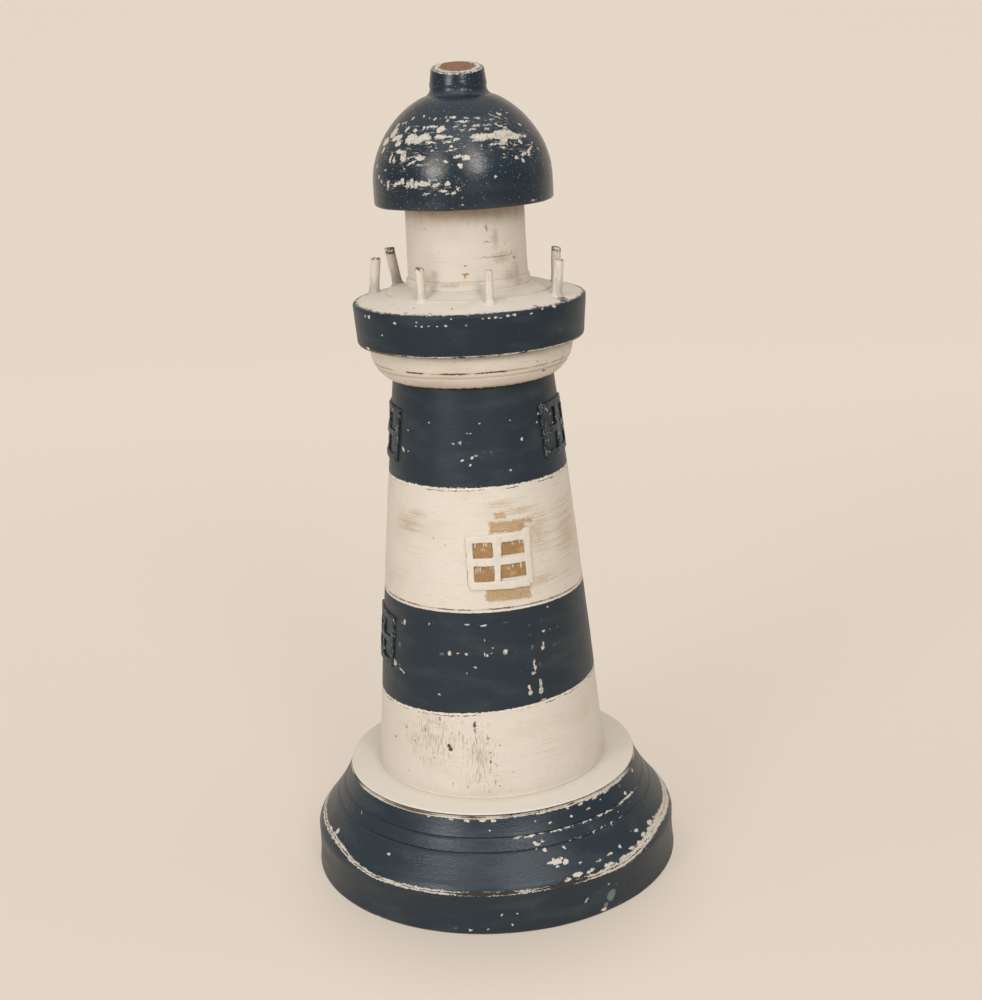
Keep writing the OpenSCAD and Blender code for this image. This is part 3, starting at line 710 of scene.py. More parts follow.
collar = turn_on_lathe("gallery_collar", math.radians(180), bare_inside=0.02)
work_by_hand(collar, size=0.015, depth=0.0002)
stand_for(collar, ["gallery_collar"])

collar_stain = (0.42, 0.31, 0.19)
score_brown = (0.34, 0.22, 0.12)
open_score = (0.10, 0.055, 0.03)
scratch_brown = (0.16, 0.09, 0.05)
navy_bleed_and_shade = (0.10, 0.08, 0.07)
seam_grime_and_shade = (0.44, 0.33, 0.21)

paint = Finish("collar_paint", off_white, 0.5, gloss=0.4)
paint.unroll(33)
tear = paint.grain(1.2, (1.6, 1.6, 0.7), detail=3, rough=0.6)
fine = paint.grain(0.45, detail=3, rough=0.6, start=3)
paint.coat(paint.ramp(paint.grain(9, (2, 2, 0.5), detail=3), 0.45, 0.75) * 0.5, aged_and_shaded_white)
turning_lines = paint.grain(1.0, around, detail=3, rough=0.6, start=6)
paint.coat(paint.ramp(turning_lines, 0.58, 0.72) * 0.35, aged_and_shaded_white)
streaks = paint.grain(1.1, (3, 3, 0.6), detail=3, rough=0.65, start=17)
paint.coat(paint.ramp(streaks, 0.62, 0.7) * 0.4, collar_stain)
scored = paint.line(184.9, 0.5, 0.15, wobble=(fine - 0.5) * 0.8 + (tear - 0.5) * 0.4)
broken = paint.grain(3.4, (2, 2, 0.5), detail=3, rough=0.6, start=40)
paint.coat(scored * paint.ramp(broken, 0.4, 0.52) * 0.75, score_brown, 0.7, -0.06)
worn = paint.patches(
    [(-34, 185, 9, 4), (-10, 185, 12, 4), (10, 184.8, 13, 4), (120, 185, 40, 4), (-140, 185, 30, 4)]
)
paint.coat(scored * paint.ramp(worn * 1.4 + (fine - 0.5) * 1.6, 0.25, 0.5), open_score, 0.7, -0.1)
scratched = [
    (60.8, 185.5, 0.5, 7, 0.15), (60.6, 181.5, 0.5, 3.5), (45, 182.4, 3, 0.6, 0.1),
    (38, 186.6, 1.4, 0.6),
]
paint.coat(paint.chips(scratched), scratch_brown, 0.7, -0.05)
# Painted shade under the deck's overhang, with a little navy bled from the deck.
paint.coat(paint.ramp(paint.height + tear * 0.8, 190.9, 191.3) * 0.8, navy_bleed_and_shade, 0.6)
seam = paint.height - (tear - 0.5) * 1.4 - (fine - 0.5) * 0.9
# Grime and painted shade in the corner at the collar's foot, above the dark seam.
paint.coat(paint.ramp(seam, 180.0, 179.5) * 0.6, seam_grime_and_shade, 0.6)
paint.coat(paint.ramp(seam, 179.35, 179.1), crack, 0.6)
paint.relief = paint.grain(0.7, (2.5, 2.5, 0.5), detail=3, start=5) * 0.06 + paint.relief
paint.dry(collar)

# --- Gallery deck --------------------------------------------------------------------------------
# A thick disc with a crowned off-white top and a navy edge that is chipped along both corners. A
# brush with navy on it has touched the top beside one of the posts.

deck = turn_on_lathe("gallery_deck", math.radians(172), bare_inside=0.02)
work_by_hand(deck, size=0.016, depth=0.0003)
stand_for(deck, ["gallery_deck"])

ring_stain = (0.45, 0.38, 0.28)
speck_red = (0.14, 0.07, 0.03)
smear_navy = (0.010, 0.012, 0.014)

paint = Finish("deck_paint", navy, 0.42, gloss=0.3)
paint.unroll(39)
tear = paint.grain(1.0, (1.5, 1.5, 0.8), detail=3, rough=0.6)
fine = paint.grain(0.45, detail=3, rough=0.6, start=3)
broken = paint.grain(3.0, (1.6, 1.6, 0.4), detail=3, rough=0.65, start=12)
paint.coat(paint.ramp(paint.grain(9, (2, 2, 0.6), start=8), 0.45, 0.75), faded_navy)
hem = paint.line(191.3, 0.55, 0.15, wobble=(fine - 0.5) * 0.7)
paint.coat(hem * paint.ramp(broken, 0.42, 0.48), undercoat, 0.6, -0.05)
worn_hem = broken + paint.patch(-60, 191.5, 40, 9) * 0.3
paint.coat(hem * paint.ramp(worn_hem, 0.56, 0.6), bare_brown, 0.7, -0.04)
paint.coat(
    paint.chips(
        [
            (5.9, 203.6, 1, 0.6), (8.7, 203.6, 1, 0.6), (12, 203.6, 1.3, 0.6), (14.3, 203.3, 1, 0.5),
            (17.7, 203.8, 1.7, 0.7), (20.7, 203.8, 1.7, 0.8), (29.6, 203.5, 1.5, 0.6),
            (36.3, 204.4, 1.1, 0.5), (-60.8, 202.9, 1.5, 0.7), (-56.8, 202.9, 1.3, 1.4),
            (-46.9, 204.8, 2.7, 0.4), (-38, 202, 1.4, 0.9), (-47.6, 197.6, 0.9, 0.7),
            (-25.5, 202.7, 0.7, 0.6), (-8.9, 203.8, 0.6, 0.5),
            (-26.2, 201.6, 0.9, 0.6), (-23.1, 201.5, 0.8, 0.6), (-19.6, 201.7, 1, 0.6),
            (-15.7, 201.6, 0.9, 0.6), (-11.4, 201.7, 1.1, 0.6), (-2.1, 201.7, 0.6, 0.5),
            (44, 204.4, 2, 1), (85, 203.8, 5, 1), (120, 203.8, 7, 1.1), (150, 197, 2, 2),
            (170, 203.9, 6, 0.9), (-150, 203.8, 5, 1.2), (-120, 203.6, 4, 1), (-100, 195, 1.6, 2),
            (-168, 193, 4, 1), (-62, 191.9, 3, 0.8),
        ]
    ),
    undercoat, 0.6,
)
scuffs = [
    (-74.1, 204.8, 1.4, 0.6), (-57.5, 205.1, 1.7, 0.3), (48, 196.2, 1.6, 0.7),
    (-7.6, 197.1, 0.6, 0.5), (23.6, 198.7, 0.7, 0.5),
]
paint.coat(paint.chips(scuffs, 0.4) * 0.7, worn_grey, 0.5, -0.03)
top = paint.ramp(paint.height + (tear - 0.5) * 0.9 + (fine - 0.5) * 0.6, 204.75, 205.0)
paint.coat(top, off_white, 0.48, 0.04)
paint.coat(top * paint.ramp(paint.grain(6, detail=3), 0.5, 0.75) * 0.35, aged_and_shaded_white)
# Painted shade: a darker ring on the deck around the lantern's foot, in the corner.
paint.coat(top * paint.near(paint.radius - 22.2, 1.8, 0.2) * 0.35, aged_and_shaded_white)
ring = paint.near(paint.radius - 27.9 + (tear - 0.5) * 0.5, 0.45, 0.15)
paint.coat(top * ring * paint.ramp(broken, 0.4, 0.55) * 0.5, ring_stain, raised=-0.05)
paint.unroll(35, up=paint.radius)
paint.coat(
    top * paint.chips(
        [
            (-33.7, 37.1, 1.7, 1), (-42, 34.5, 0.6, 0.8), (-32.5, 33.2, 0.6, 0.9), (-9.8, 33.2, 0.6, 0.9),
            (35, 36.5, 2, 0.8), (-20, 36.8, 1.4, 0.6), (118, 35, 2, 1), (-150, 33, 1.4, 1),
        ]
    ),
    speck_red, 0.7,
)
smear = [
    (66.4, 32.4, 2.1, 2.7), (62.5, 33.9, 2.2, 2.0, -0.7), (58.8, 35.6, 2.4, 2.2, -0.7),
    (54.5, 37.6, 3.2, 2.2, -0.5),
]
paint.coat(top * paint.chips([(57, 36.3, 5.4, 4.4)], 0.9) * 0.8, worn_grey, 0.45)
paint.coat(top * paint.chips(smear), smear_navy, 0.4)
paint.relief = paint.grain(0.7, (2.5, 2.5, 0.5), detail=3, start=5) * 0.07 + paint.relief
paint.dry(deck)

# --- Rail posts ----------------------------------------------------------------------------------
# Eight lengths of thin dowel, snipped off and glued into the deck by eye. Each has a bare, uneven cut
# on top and stands in a small collar of the paint that was brushed over it.


def stand_post(node, number, higher, girth, glue):
    """A post on its solid's own axis: how much higher its foot shows (mm), its girth and its glue."""
    corners = [v.co.copy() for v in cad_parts[node].data.vertices]
    middle = (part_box(node)[0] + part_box(node)[1]) / 2
    top = [c for c in corners if c.z > max(v.z for v in corners) - 0.0009]
    foot = [c for c in corners if c.z < min(v.z for v in corners) + 0.0009]
    top, foot = sum(top, Vector()) / len(top), sum(foot, Vector()) / len(foot)
    axis = (top - foot).normalized()
    above = 12 + higher
    thick = 1.57 * girth
    rings = [  # height above the deck and radius, mm
        (-0.7, 2.7 * glue), (-0.1, 2.3 * glue), (0.35, 1.9 * glue), (0.8 * glue, thick * 1.09),
        (1.8, thick * 1.03), (4, thick), (7, thick * 1.02), (above - 2, thick * 0.99),
    ]
    here = rings[0]
    bpy.ops.mesh.primitive_circle_add(vertices=20, radius=here[1] / 1000, location=(0, 0, here[0] / 1000))
    post = bpy.context.object
    post.name = node + "_dowel"
    bpy.ops.object.transform_apply(location=True)
    bpy.ops.object.mode_set(mode="EDIT")
    for ring in rings[1:] + [(above - 0.35, thick), (above - 0.1, thick * 0.94)]:
        rise, wider = (ring[0] - here[0]) / 1000, ring[1] / here[1]
        bpy.ops.mesh.extrude_region_move(TRANSFORM_OT_translate={"value": (0, 0, rise)})
        bpy.ops.transform.resize(value=(wider, wider, 1), center_override=(0, 0, ring[0] / 1000))
        here = ring
    bpy.ops.mesh.extrude_region_move(TRANSFORM_OT_translate={"value": (0, 0, 0)})
    bpy.ops.transform.resize(value=(0.7, 0.7, 1), center_override=(0, 0, here[0] / 1000))
    bpy.ops.mesh.extrude_region_move(TRANSFORM_OT_translate={"value": (0, 0, -0.00015)})
    bpy.ops.mesh.merge(type="COLLAPSE")
    bpy.ops.mesh.select_all(action="DESELECT")
    bpy.ops.mesh.select_non_manifold()
    bpy.ops.mesh.edge_face_add()
    bpy.ops.mesh.select_all(action="SELECT")
    bpy.ops.mesh.normals_make_consistent(inside=False)
    bpy.ops.object.mode_set(mode="OBJECT")
    slant = 0.18 * math.sin(2.3 * number)
    for vertex in post.data.vertices:
        if vertex.co.z > (above - 1) / 1000:
            vertex.co.z += vertex.co.x * slant
    post.rotation_euler = Vector((0, 0, 1)).rotation_difference(axis).to_euler()
    post.location = foot + axis * (6 - higher) / 1000
    bpy.ops.object.transform_apply(location=True, rotation=True)
    work_by_hand(post, size=0.003, depth=0.0004)
    stand_for(post, [node])
    return post


builds = [  # how much higher each foot shows, its girth and its glue
    (0.1, 1.06, 1.05), (-1.2, 0.9, 1), (-1.4, 0.9, 1), (-0.2, 1.05, 1.05),
    (0.4, 1.04, 1), (-0.8, 1, 1), (-1, 1, 1.05), (1.5, 1.08, 1.3),
]
posts = [stand_post("rail_post_%d" % (i + 1), i + 1, *build) for i, build in enumerate(builds)]
post_white = (0.64, 0.585, 0.50)
fibre_grey = (0.38, 0.32, 0.25)
post_damp = (0.31, 0.28, 0.25)
weather_grey = (0.28, 0.26, 0.24)
cut_brown = (0.10, 0.07, 0.045)

paint = Finish("post_paint", post_white, 0.5, gloss=0.4)
fibre = paint.grain(0.3, (1, 1, 14), detail=3, rough=0.6)
cloud = paint.grain(2.5, (1, 1, 1.6), detail=2, start=4)
paint.coat(paint.ramp(fibre, 0.52, 0.68) * 0.4, fibre_grey, 0.6, -0.05)
paint.coat(paint.ramp(cloud, 0.5, 0.66) * paint.ramp(fibre, 0.45, 0.6) * 0.55, post_damp)
weathered = paint.ramp(paint.turn, -60, -75) | paint.ramp(paint.turn, 55, 62)
paint.coat(weathered * paint.ramp(paint.height + (cloud - 0.5) * 10, 213, 208) * 0.5, weather_grey, 0.6)
cut = paint.ramp(paint.height + paint.grain(1.2, start=2) * 1.6, 218.0, 218.4)
paint.coat(cut * paint.ramp(paint.grain(0.8, detail=3, start=7), 0.47, 0.55), cut_brown, 0.7, -0.05)
paint.relief = paint.grain(0.4, (1, 1, 4), detail=3) * 0.06 + paint.relief
paint.dry(*posts)

# --- Lantern room --------------------------------------------------------------------------------
# A plain turned cylinder with a narrow foot ring, painted off-white. It turns browner towards the
# top, under the roof, handling has stained it, and turning lines and scratches show through the
# paint. Painted shade darkens its foot where it meets the deck.

lantern = turn_on_lathe("lantern_room", math.radians(180), bare_inside=0.012)
work_by_hand(lantern, size=0.014, depth=0.0002)
stand_for(lantern, ["lantern_room"])

top_band_brown = (0.43, 0.31, 0.20)
top_band_dark_brown = (0.33, 0.20, 0.11)
touched = (0.42, 0.33, 0.24)
touched_pore = (0.30, 0.22, 0.14)
drip_brown = (0.25, 0.175, 0.11)
line_brown = (0.30, 0.23, 0.14)
bruise_brown = (0.34, 0.19, 0.09)
foot_stain_and_shade = (0.42, 0.33, 0.23)

paint = Finish("lantern_room_paint", off_white, 0.5, gloss=0.4)
paint.unroll(20)
tear = paint.grain(1.0, detail=3, rough=0.6)
fine = paint.grain(0.45, detail=3, rough=0.6, start=3)
lines = paint.grain(1.0, (14, 14, 0.5), detail=3, rough=0.65, start=11)
pores = paint.grain(0.5, upright, detail=3, rough=0.6, start=7)
paint.coat(paint.ramp(paint.grain(10, detail=3), 0.45, 0.8) * 0.35, aged_and_shaded_white)
paint.coat(paint.ramp(lines, 0.55, 0.72) * 0.3, aged_and_shaded_white, raised=-0.03)
# Browner towards the top, under the roof.
under_roof = paint.height + (paint.grain(3, (1, 1, 2), start=5) - 0.5) * 5 + (pores - 0.5) * 3
paint.coat(paint.ramp(under_roof, 229, 236.5) * 0.75, top_band_brown)
paint.coat(paint.ramp(under_roof, 233, 236.5) * paint.ramp(tear, 0.42, 0.6) * 0.5, top_band_dark_brown)
stains = paint.patches(
    [
        (44, 213, 10, 7), (34, 219.5, 12, 7), (52, 213, 7, 16), (-16, 211.5, 16, 3),
        (28, 226, 5, 12), (-42, 213, 6, 10),
    ]
)
paint.coat(paint.ramp(stains * 0.5 + (tear - 0.5) * 0.8, 0.08, 0.4) * 0.5, touched)
paint.coat(paint.ramp(stains * 0.3 + pores * 0.7, 0.58, 0.66) * 0.35, touched_pore, 0.6, -0.04)
drips = [
    (-46, 231.6, 0.5, 2.8), (-41, 229.6, 0.6, 2.4), (2.6, 231.2, 0.5, 2.4), (19.5, 229.6, 1.1, 3.6),
    (20, 228.6, 1, 1.2), (43, 233, 0.5, 2.4), (19.2, 224.9, 3, 0.9), (38, 223.8, 0.6, 1.8),
    (16.4, 220.3, 2.4, 0.5), (47, 220.6, 0.8, 1.9), (50, 218.8, 2, 1.3), (-26.5, 222, 0.6, 0.7),
    (-26, 223, 0.4, 1), (120, 230, 0.8, 4), (150, 232, 0.6, 3), (-130, 231, 0.8, 4),
]
paint.coat(paint.chips(drips, 0.35) * 0.75, drip_brown, 0.6, -0.04)
turning_line = paint.line(219.9, 0.3, 0.15, wobble=(tear - 0.5) * 0.6)
paint.coat(turning_line * paint.patch(30, 220, 18, 8) * 1.2, line_brown)
bruises = [(-2.6, 214.9, 2.8, 0.9), (-2.8, 214.2, 0.9, 1.4), (-1.9, 217.6, 1, 0.7)]
paint.coat(paint.chips(bruises), bruise_brown, 0.6, -0.04)
# A stained line at the top of the foot ring.
paint.coat(paint.line(212.3, 0.5, 0.3, wobble=(tear - 0.5) * 0.5) * 0.5, foot_stain_and_shade, raised=-0.05)
# Painted shade: the lantern darkens towards its foot, where it meets the deck.
paint.coat(paint.ramp(paint.height + tear, 210.6, 209.8) * 0.3, foot_stain_and_shade)
for level in (220.4, 217.4):
    paint.coat(paint.line(level, 0.3, 0.2) * paint.ramp(tear, 0.45, 0.55) * 0.3, aged_and_shaded_white, raised=-0.04)
paint.relief = paint.grain(0.7, (2.5, 2.5, 0.5), detail=3, start=5) * 0.06 + paint.relief
paint.dry(lantern)

# --- Roof ----------------------------------------------------------------------------------------
# A bell-shaped roof turned in one piece with its blunt neck, navy over the off-white undercoat. The
# dome has been rubbed hard along the turning, and the neck's top is worn through to the wood.

roof = turn_on_lathe("roof_dome", math.radians(180), bare_inside=0.0006)
crown_top, crown_radius, slope = 281.2, 5.9, math.tan(math.radians(13))
for vertex in roof.data.vertices:  # the blunt top falls a little towards the front
    vertex.co.z = min(vertex.co.z, crown_top / 1000 - (crown_radius / 1000 - vertex.co.y) * slope)
choose(roof)
bpy.ops.object.mode_set(mode="EDIT")
bpy.ops.mesh.select_all(action="DESELECT")
bpy.ops.mesh.select_non_manifold()
bpy.ops.mesh.merge(type="COLLAPSE")
bpy.ops.object.mode_set(mode="OBJECT")
work_by_hand(roof, size=0.016, depth=0.0003)
stand_for(roof, ["roof_dome"])

haze_and_highlight = (0.125, 0.115, 0.105)
crown_wood = (0.235, 0.118, 0.062)
crown_grain = (0.15, 0.07, 0.035)

paint = Finish("roof_paint", navy, 0.24, gloss=0.42)
paint.unroll(26, fray=0.9)
tear = paint.grain(1.0, detail=3, rough=0.6)
fine = paint.grain(0.45, detail=3, rough=0.6, start=3)
paint.coat(paint.ramp(paint.grain(9, (1.5, 1.5, 0.7), start=8), 0.45, 0.75), faded_navy)
paint.relief = paint.grain(1.1, (1.6, 1.6, 0.8), detail=3, rough=0.6, start=5) * 0.12
rubbed = paint.patches(
    [
        (-40, 256, 44, 20), (-8, 259, 26, 14), (28, 258, 34, 16), (48, 254, 16, 12),
        (-35, 244.5, 44, 6), (170, 256, 60, 20), (-120, 252, 30, 16), (100, 256, 24, 12),
    ]
)
# Two greyish patches where the windows' highlights fall on the dome: partly hazed, handled paint, partly a
# painted highlight.
handled_and_highlight = paint.patches([(-17, 250.5, 11, 11), (7, 252, 10, 13)])
paint.coat(paint.ramp(handled_and_highlight + (tear - 0.5) * 0.3, 0, 0.6) * 0.5, haze_and_highlight)
scratches = paint.grain(0.6, (5, 5, 0.55), detail=4, rough=0.7, start=3)
rubbed = paint.calc("MINIMUM", rubbed, 0.4) * 0.25
paint.coat(paint.ramp(rubbed + scratches * 0.8, 0.575, 0.615) * 0.8, undercoat, 0.55, -0.05)
thin_or_whole = 0.5 + paint.ramp(fine + tear, 0.78, 1.02) * 0.5
paint.coat(
    thin_or_whole * paint.chips(
        [
            (-47.2, 264.8, 0.9, 1, 0.6), (-35.3, 265.3, 1.5, 0.7, 0.2), (-28.1, 264.7, 0.7, 1, 0.5),
            (-22.5, 264.5, 1.5, 0.8, 0.5), (-17.5, 264.7, 0.9, 0.5, 0.3), (-12.4, 264.7, 1.2, 0.5, 0.2),
            (-6.1, 264.9, 3.5, 0.7, 0.1), (5.4, 264.4, 2.8, 0.7, -0.1), (-10.7, 263.8, 1.1, 0.8, 0.6),
            (1.7, 263.4, 7, 0.6), (15.1, 264.2, 3.6, 0.5), (3.4, 262.1, 1.9, 0.6), (-3.4, 262, 2.5, 0.5),
            (1.2, 261, 2.8, 0.5), (29.5, 264.8, 2.8, 0.5, -0.5), (38.5, 264.9, 3.1, 1, -0.3),
            (49.1, 265.1, 1.5, 0.6), (35, 263.8, 4.5, 0.5, -0.4), (43.1, 263.4, 1.7, 0.4, -0.4),
            (27.8, 263.5, 3.1, 0.5), (21.9, 263.3, 1.1, 0.4), (21.8, 262, 4.4, 0.6), (12.6, 262, 4.2, 0.7),
            (8.9, 261, 4.1, 0.7), (20.4, 260.9, 2.7, 0.6), (32.7, 261.4, 4.8, 0.8, -0.4),
            (37.5, 260.7, 2.3, 0.5, -0.4), (16.8, 258.7, 9.8, 1.9), (32.1, 258.8, 9.7, 3.1),
            (41.2, 258, 6.7, 1.9), (50.9, 257.7, 4, 1), (30, 256.6, 4, 1.6, 0.5), (12.7, 257.7, 5.1, 0.8),
            (44.9, 256.2, 1.3, 1.8, -0.6), (54.1, 261.1, 0.9, 1.6, -0.6), (22.8, 256.2, 4.7, 0.6),
            (13.8, 256.2, 1.1, 0.4), (28.4, 255, 2.5, 0.6), (36.2, 256.1, 0.5, 1.8), (38.9, 255.5, 0.6, 1.6),
            (32.8, 256, 0.5, 1.8), (51.4, 253.7, 4.7, 0.8, 0.4), (49.3, 252.7, 1.4, 3, 0.5),
            (44.6, 252.6, 2.7, 1.3, 0.4), (37.2, 251.6, 1.6, 1.4, 0.5), (42.2, 250.4, 1.1, 2, -0.5),
            (28.2, 252, 2.1, 0.4), (28.3, 252.9, 1.1, 0.5), (24.7, 249.7, 0.7, 0.4), (20.5, 246.3, 0.9, 0.9),
            (37.7, 246.4, 0.7, 0.3), (57.6, 255.3, 1.4, 0.6), (61.7, 253.3, 1.1, 0.6),
            (60.5, 258.9, 1.3, 0.4),
            (-63.9, 262.4, 2.3, 1.8, 0.6), (-57, 263.2, 1.2, 1.3, 0.4), (-53, 263.5, 1.1, 1, 0.4),
            (-46.7, 261.6, 1.3, 2.2, 0.6), (-38.3, 261.2, 2.2, 1), (-30.5, 261.8, 1, 1.5, 0.5),
            (-26.9, 261.9, 0.8, 1.3, 0.3), (-22.3, 262.2, 4.2, 1.1, 0.1), (-15.7, 261.5, 3.6, 1.9, 0.2),
            (-62.6, 260.3, 4.4, 3.1, 0.4), (-54.5, 258.9, 5.8, 2, 0.2), (-69.9, 257.5, 4.8, 2.5, 0.3),
            (-50.6, 257.3, 3.1, 1.9, 0.5), (-38.8, 258.7, 5, 3.2, 0.3), (-30, 258.8, 6.3, 2.4, 0.5),
            (-24.5, 259.1, 2.8, 1.6), (-14.8, 259.2, 4.6, 1.5), (-7.8, 259.2, 2.5, 1, 0.1),
            (-21.8, 257.6, 4.1, 0.9), (-9.8, 257.6, 5.1, 0.5), (-3.5, 258.3, 2.2, 0.8, 0.3),
            (-21.3, 256.3, 1.2, 0.5), (-17.3, 256, 1.2, 0.4), (-19.9, 255.1, 2, 0.6), (-6.6, 256.2, 1.4, 0.7),
            (-6.9, 255.2, 4.8, 0.5, 0.25), (1.8, 256.1, 0.8, 0.7, 0.4), (-68.2, 254.9, 2.1, 1.7, 0.6),
            (-46.7, 254.8, 3.3, 1.5), (-41.9, 253.5, 2.2, 3.9, -0.3), (-54, 252.9, 1.2, 3.3, 0.3),
            (-49.8, 252.2, 1.1, 2.6, -0.3), (-35.3, 253.2, 4, 0.7, 0.2), (-33.6, 251.6, 4.6, 0.8, 0.5),
            (-28, 253.1, 3.6, 1.6), (-28.6, 250.8, 3.3, 0.4), (-3.1, 253.1, 2.8, 1.1), (2.6, 252.8, 2.8, 1.7),
            (-1.4, 250.4, 1.6, 1.5), (-10.2, 251.7, 1.5, 0.8, -0.4), (-39.3, 249.7, 0.8, 0.5),
            (-57.3, 249.1, 1.1, 1.2), (-62.1, 245.4, 1.4, 1.3, -0.4), (-54.1, 244.5, 1.2, 3.5, 0.3),
            (-45.1, 245, 4.7, 1, 0.5), (-40.4, 245.9, 1.6, 2.3), (-36.4, 244.8, 1.4, 2.5, 0.5),
            (-33.2, 245.3, 1.3, 3.4), (-30.1, 244.8, 1.3, 2.8), (-25.2, 245.1, 4.6, 1.9),
            (-21.1, 245.8, 0.8, 1.7), (-16.7, 244.7, 3.6, 1.2, 0.35), (-17.6, 246.3, 2, 0.5),
            (-9.5, 245, 1.5, 1.5), (-3, 243.3, 1.1, 1.4, 0.6), (-12.5, 242.9, 2.9, 1),
            (-23.8, 241.9, 3.1, 0.7, 0.25), (-17.5, 241.7, 1.3, 0.5), (-6.2, 242.1, 1.6, 0.9, 0.4),
            (-9.8, 242, 1.1, 0.7), (-1.2, 240.4, 0.6, 0.4), (47.8, 237.6, 3.5, 0.4, 0.1),
            (-0.8, 238.3, 0.9, 0.5), (-72.4, 250, 1.4, 1.5), (-66.2, 246.7, 1.2, 1.3),
        ]
    ),
    undercoat, 0.55,
)
back = [
    (95, 258, 6, 1.6), (105, 254, 5, 1.2), (112, 260, 4, 1), (125, 256, 7, 1.4), (138, 261, 4, 0.9),
    (146, 252, 3, 2.4), (155, 257, 8, 1.6), (166, 260, 5, 1), (170, 250, 4, 1.2), (-166, 255, 7, 1.6),
    (-155, 260, 5, 1), (-148, 251, 3, 2.2), (-138, 257, 5, 1.2), (-126, 246, 4, 1), (-118, 254, 4, 2),
    (-108, 259, 5, 1.2), (-98, 252, 3, 1.6), (-88, 256, 4, 1), (80, 247, 2, 1), (118, 244, 3, 0.8),
    (-160, 243, 3, 0.8), (150, 240, 2, 0.8),
]
paint.coat(paint.chips(back) * paint.ramp(scratches + (tear - 0.5) * 0.4, 0.42, 0.5), undercoat, 0.55)
below_top = crown_top - (crown_radius - paint.depth) * slope - paint.height
paint.coat(paint.ramp(below_top + (fine - 0.5) * 1.2, 0.35, 0.2), undercoat, 0.6, -0.04)
nicks = paint.patches(
    [(-30, 279.6, 9, 3.6), (45, 279.6, 5, 3.4), (8, 278.6, 5, 1.6), (150, 280, 12, 3), (-140, 280, 8, 3)]
)
paint.coat(paint.ramp(nicks + (fine - 0.5) * 0.9 + (tear - 0.5) * 0.6, 0.15, 0.3), undercoat, 0.6, -0.06)
crown_edge = paint.radius + (tear - 0.5) * 3.4 + (fine - 0.5) * 2
still_navy = paint.ramp(crown_edge, 7.2, 7.6) * paint.ramp(tear + fine, 0.96, 1.04)
still_navy = still_navy * paint.ramp(below_top, 1.6, 0.8)
paint.coat(still_navy, navy, 0.35)
bare_top = paint.ramp(crown_edge, 6.1, 5.8) * paint.ramp(below_top, 0.3, 0.15)
paint.coat(bare_top, crown_wood, 0.7, -0.12)
paint.coat(bare_top * paint.ramp(paint.grain(0.5, (0.6, 8, 1), start=5), 0.45, 0.7), crown_grain)
paint.dry(roof)

# --- Pegs and screw ------------------------------------------------------------------------------
# A beech peg lines up the tower, collar, deck and lantern room, a thinner one holds the roof, and a
# zinc-plated countersunk screw draws the plinth against the tower's tenon from below.

beech = (0.56, 0.36, 0.20)
beech_grain = (0.42, 0.25, 0.13)
zinc = (0.58, 0.58, 0.60)
dull_zinc = (0.42, 0.42, 0.43)

paint = Finish("beech_peg", beech, 0.6, gloss=0.3)
paint.coat(paint.ramp(paint.grain(0.5, (1, 1, 16), detail=3), 0.45, 0.7), beech_grain, raised=-0.05)
paint.dry(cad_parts["centre_dowel"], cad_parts["roof_dowel"])

paint = Finish("zinc_screw", zinc, 0.34)
paint.shader.inputs["Metallic"].default_value = 1
paint.coat(paint.ramp(paint.grain(1.2, detail=4), 0.45, 0.7), dull_zinc, 0.48)
paint.relief = paint.grain(0.3, detail=2) * 0.02
paint.dry(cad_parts["base_screw"])

# --- Floor, light and camera ---------------------------------------------------------------------
# A sweep of plain beige paper stands under and behind the ornament. Its glow is painted darker towards
# the front, as a falloff of light, and around the ornament's foot, as a painted shadow. Two soft
# windows light it from the front and a third from overhead, in a dim room, and the camera looks
# slightly down on it.

bpy.ops.mesh.primitive_plane_add(size=6, location=(0, 0, 0))
floor = bpy.context.object
floor.name = "floor"
bpy.ops.object.mode_set(mode="EDIT")
bpy.ops.mesh.select_mode(type="EDGE")
bpy.ops.mesh.bisect(plane_co=(0, 1.0, 0), plane_no=(0, 1, 0), clear_outer=True)
pick_edges(floor, lambda a, b: min(a.y, b.y) > 0.99)
bpy.ops.mesh.spin(steps=24, angle=math.radians(-90), center=(0, 1.0, 1.2), axis=(1, 0, 0))
bpy.ops.mesh.extrude_region_move(TRANSFORM_OT_translate={"value": (0, 0, 2)})
bpy.ops.object.mode_set(mode="OBJECT")
bpy.ops.object.shade_smooth()
paper = bpy.data.materials.new("beige_paper")
paper.use_nodes = True
nodes, links = paper.node_tree.nodes, paper.node_tree.links
matt = nodes["Principled BSDF"]
matt.inputs["Base Color"].default_value = (0.74, 0.645, 0.55, 1)
matt.inputs["Roughness"].default_value = 0.9
matt.inputs["Specular IOR Level"].default_value = 0.1
depth = nodes.new("ShaderNodeSeparateXYZ")
links.new(nodes.new("ShaderNodeTexCoord").outputs["Object"], depth.inputs[0])
# Painted light: the paper's glow grows darker towards the front, a painted falloff of light.
painted_falloff = nodes.new("ShaderNodeMapRange")
for socket, value in zip(painted_falloff.inputs[1:5], (0.0, 0.75, 0.755, 0.945)):
    socket.default_value = value
links.new(depth.outputs["Y"], painted_falloff.inputs[0])
behind = nodes.new("ShaderNodeMapRange")
behind.inputs["From Min"].default_value, behind.inputs["From Max"].default_value = 0.0, 0.1
links.new(depth.outputs["Y"], behind.inputs[0])
lit = nodes.new("ShaderNodeEmission")
lit.inputs["Color"].default_value = (1.0, 0.877, 0.745, 1)
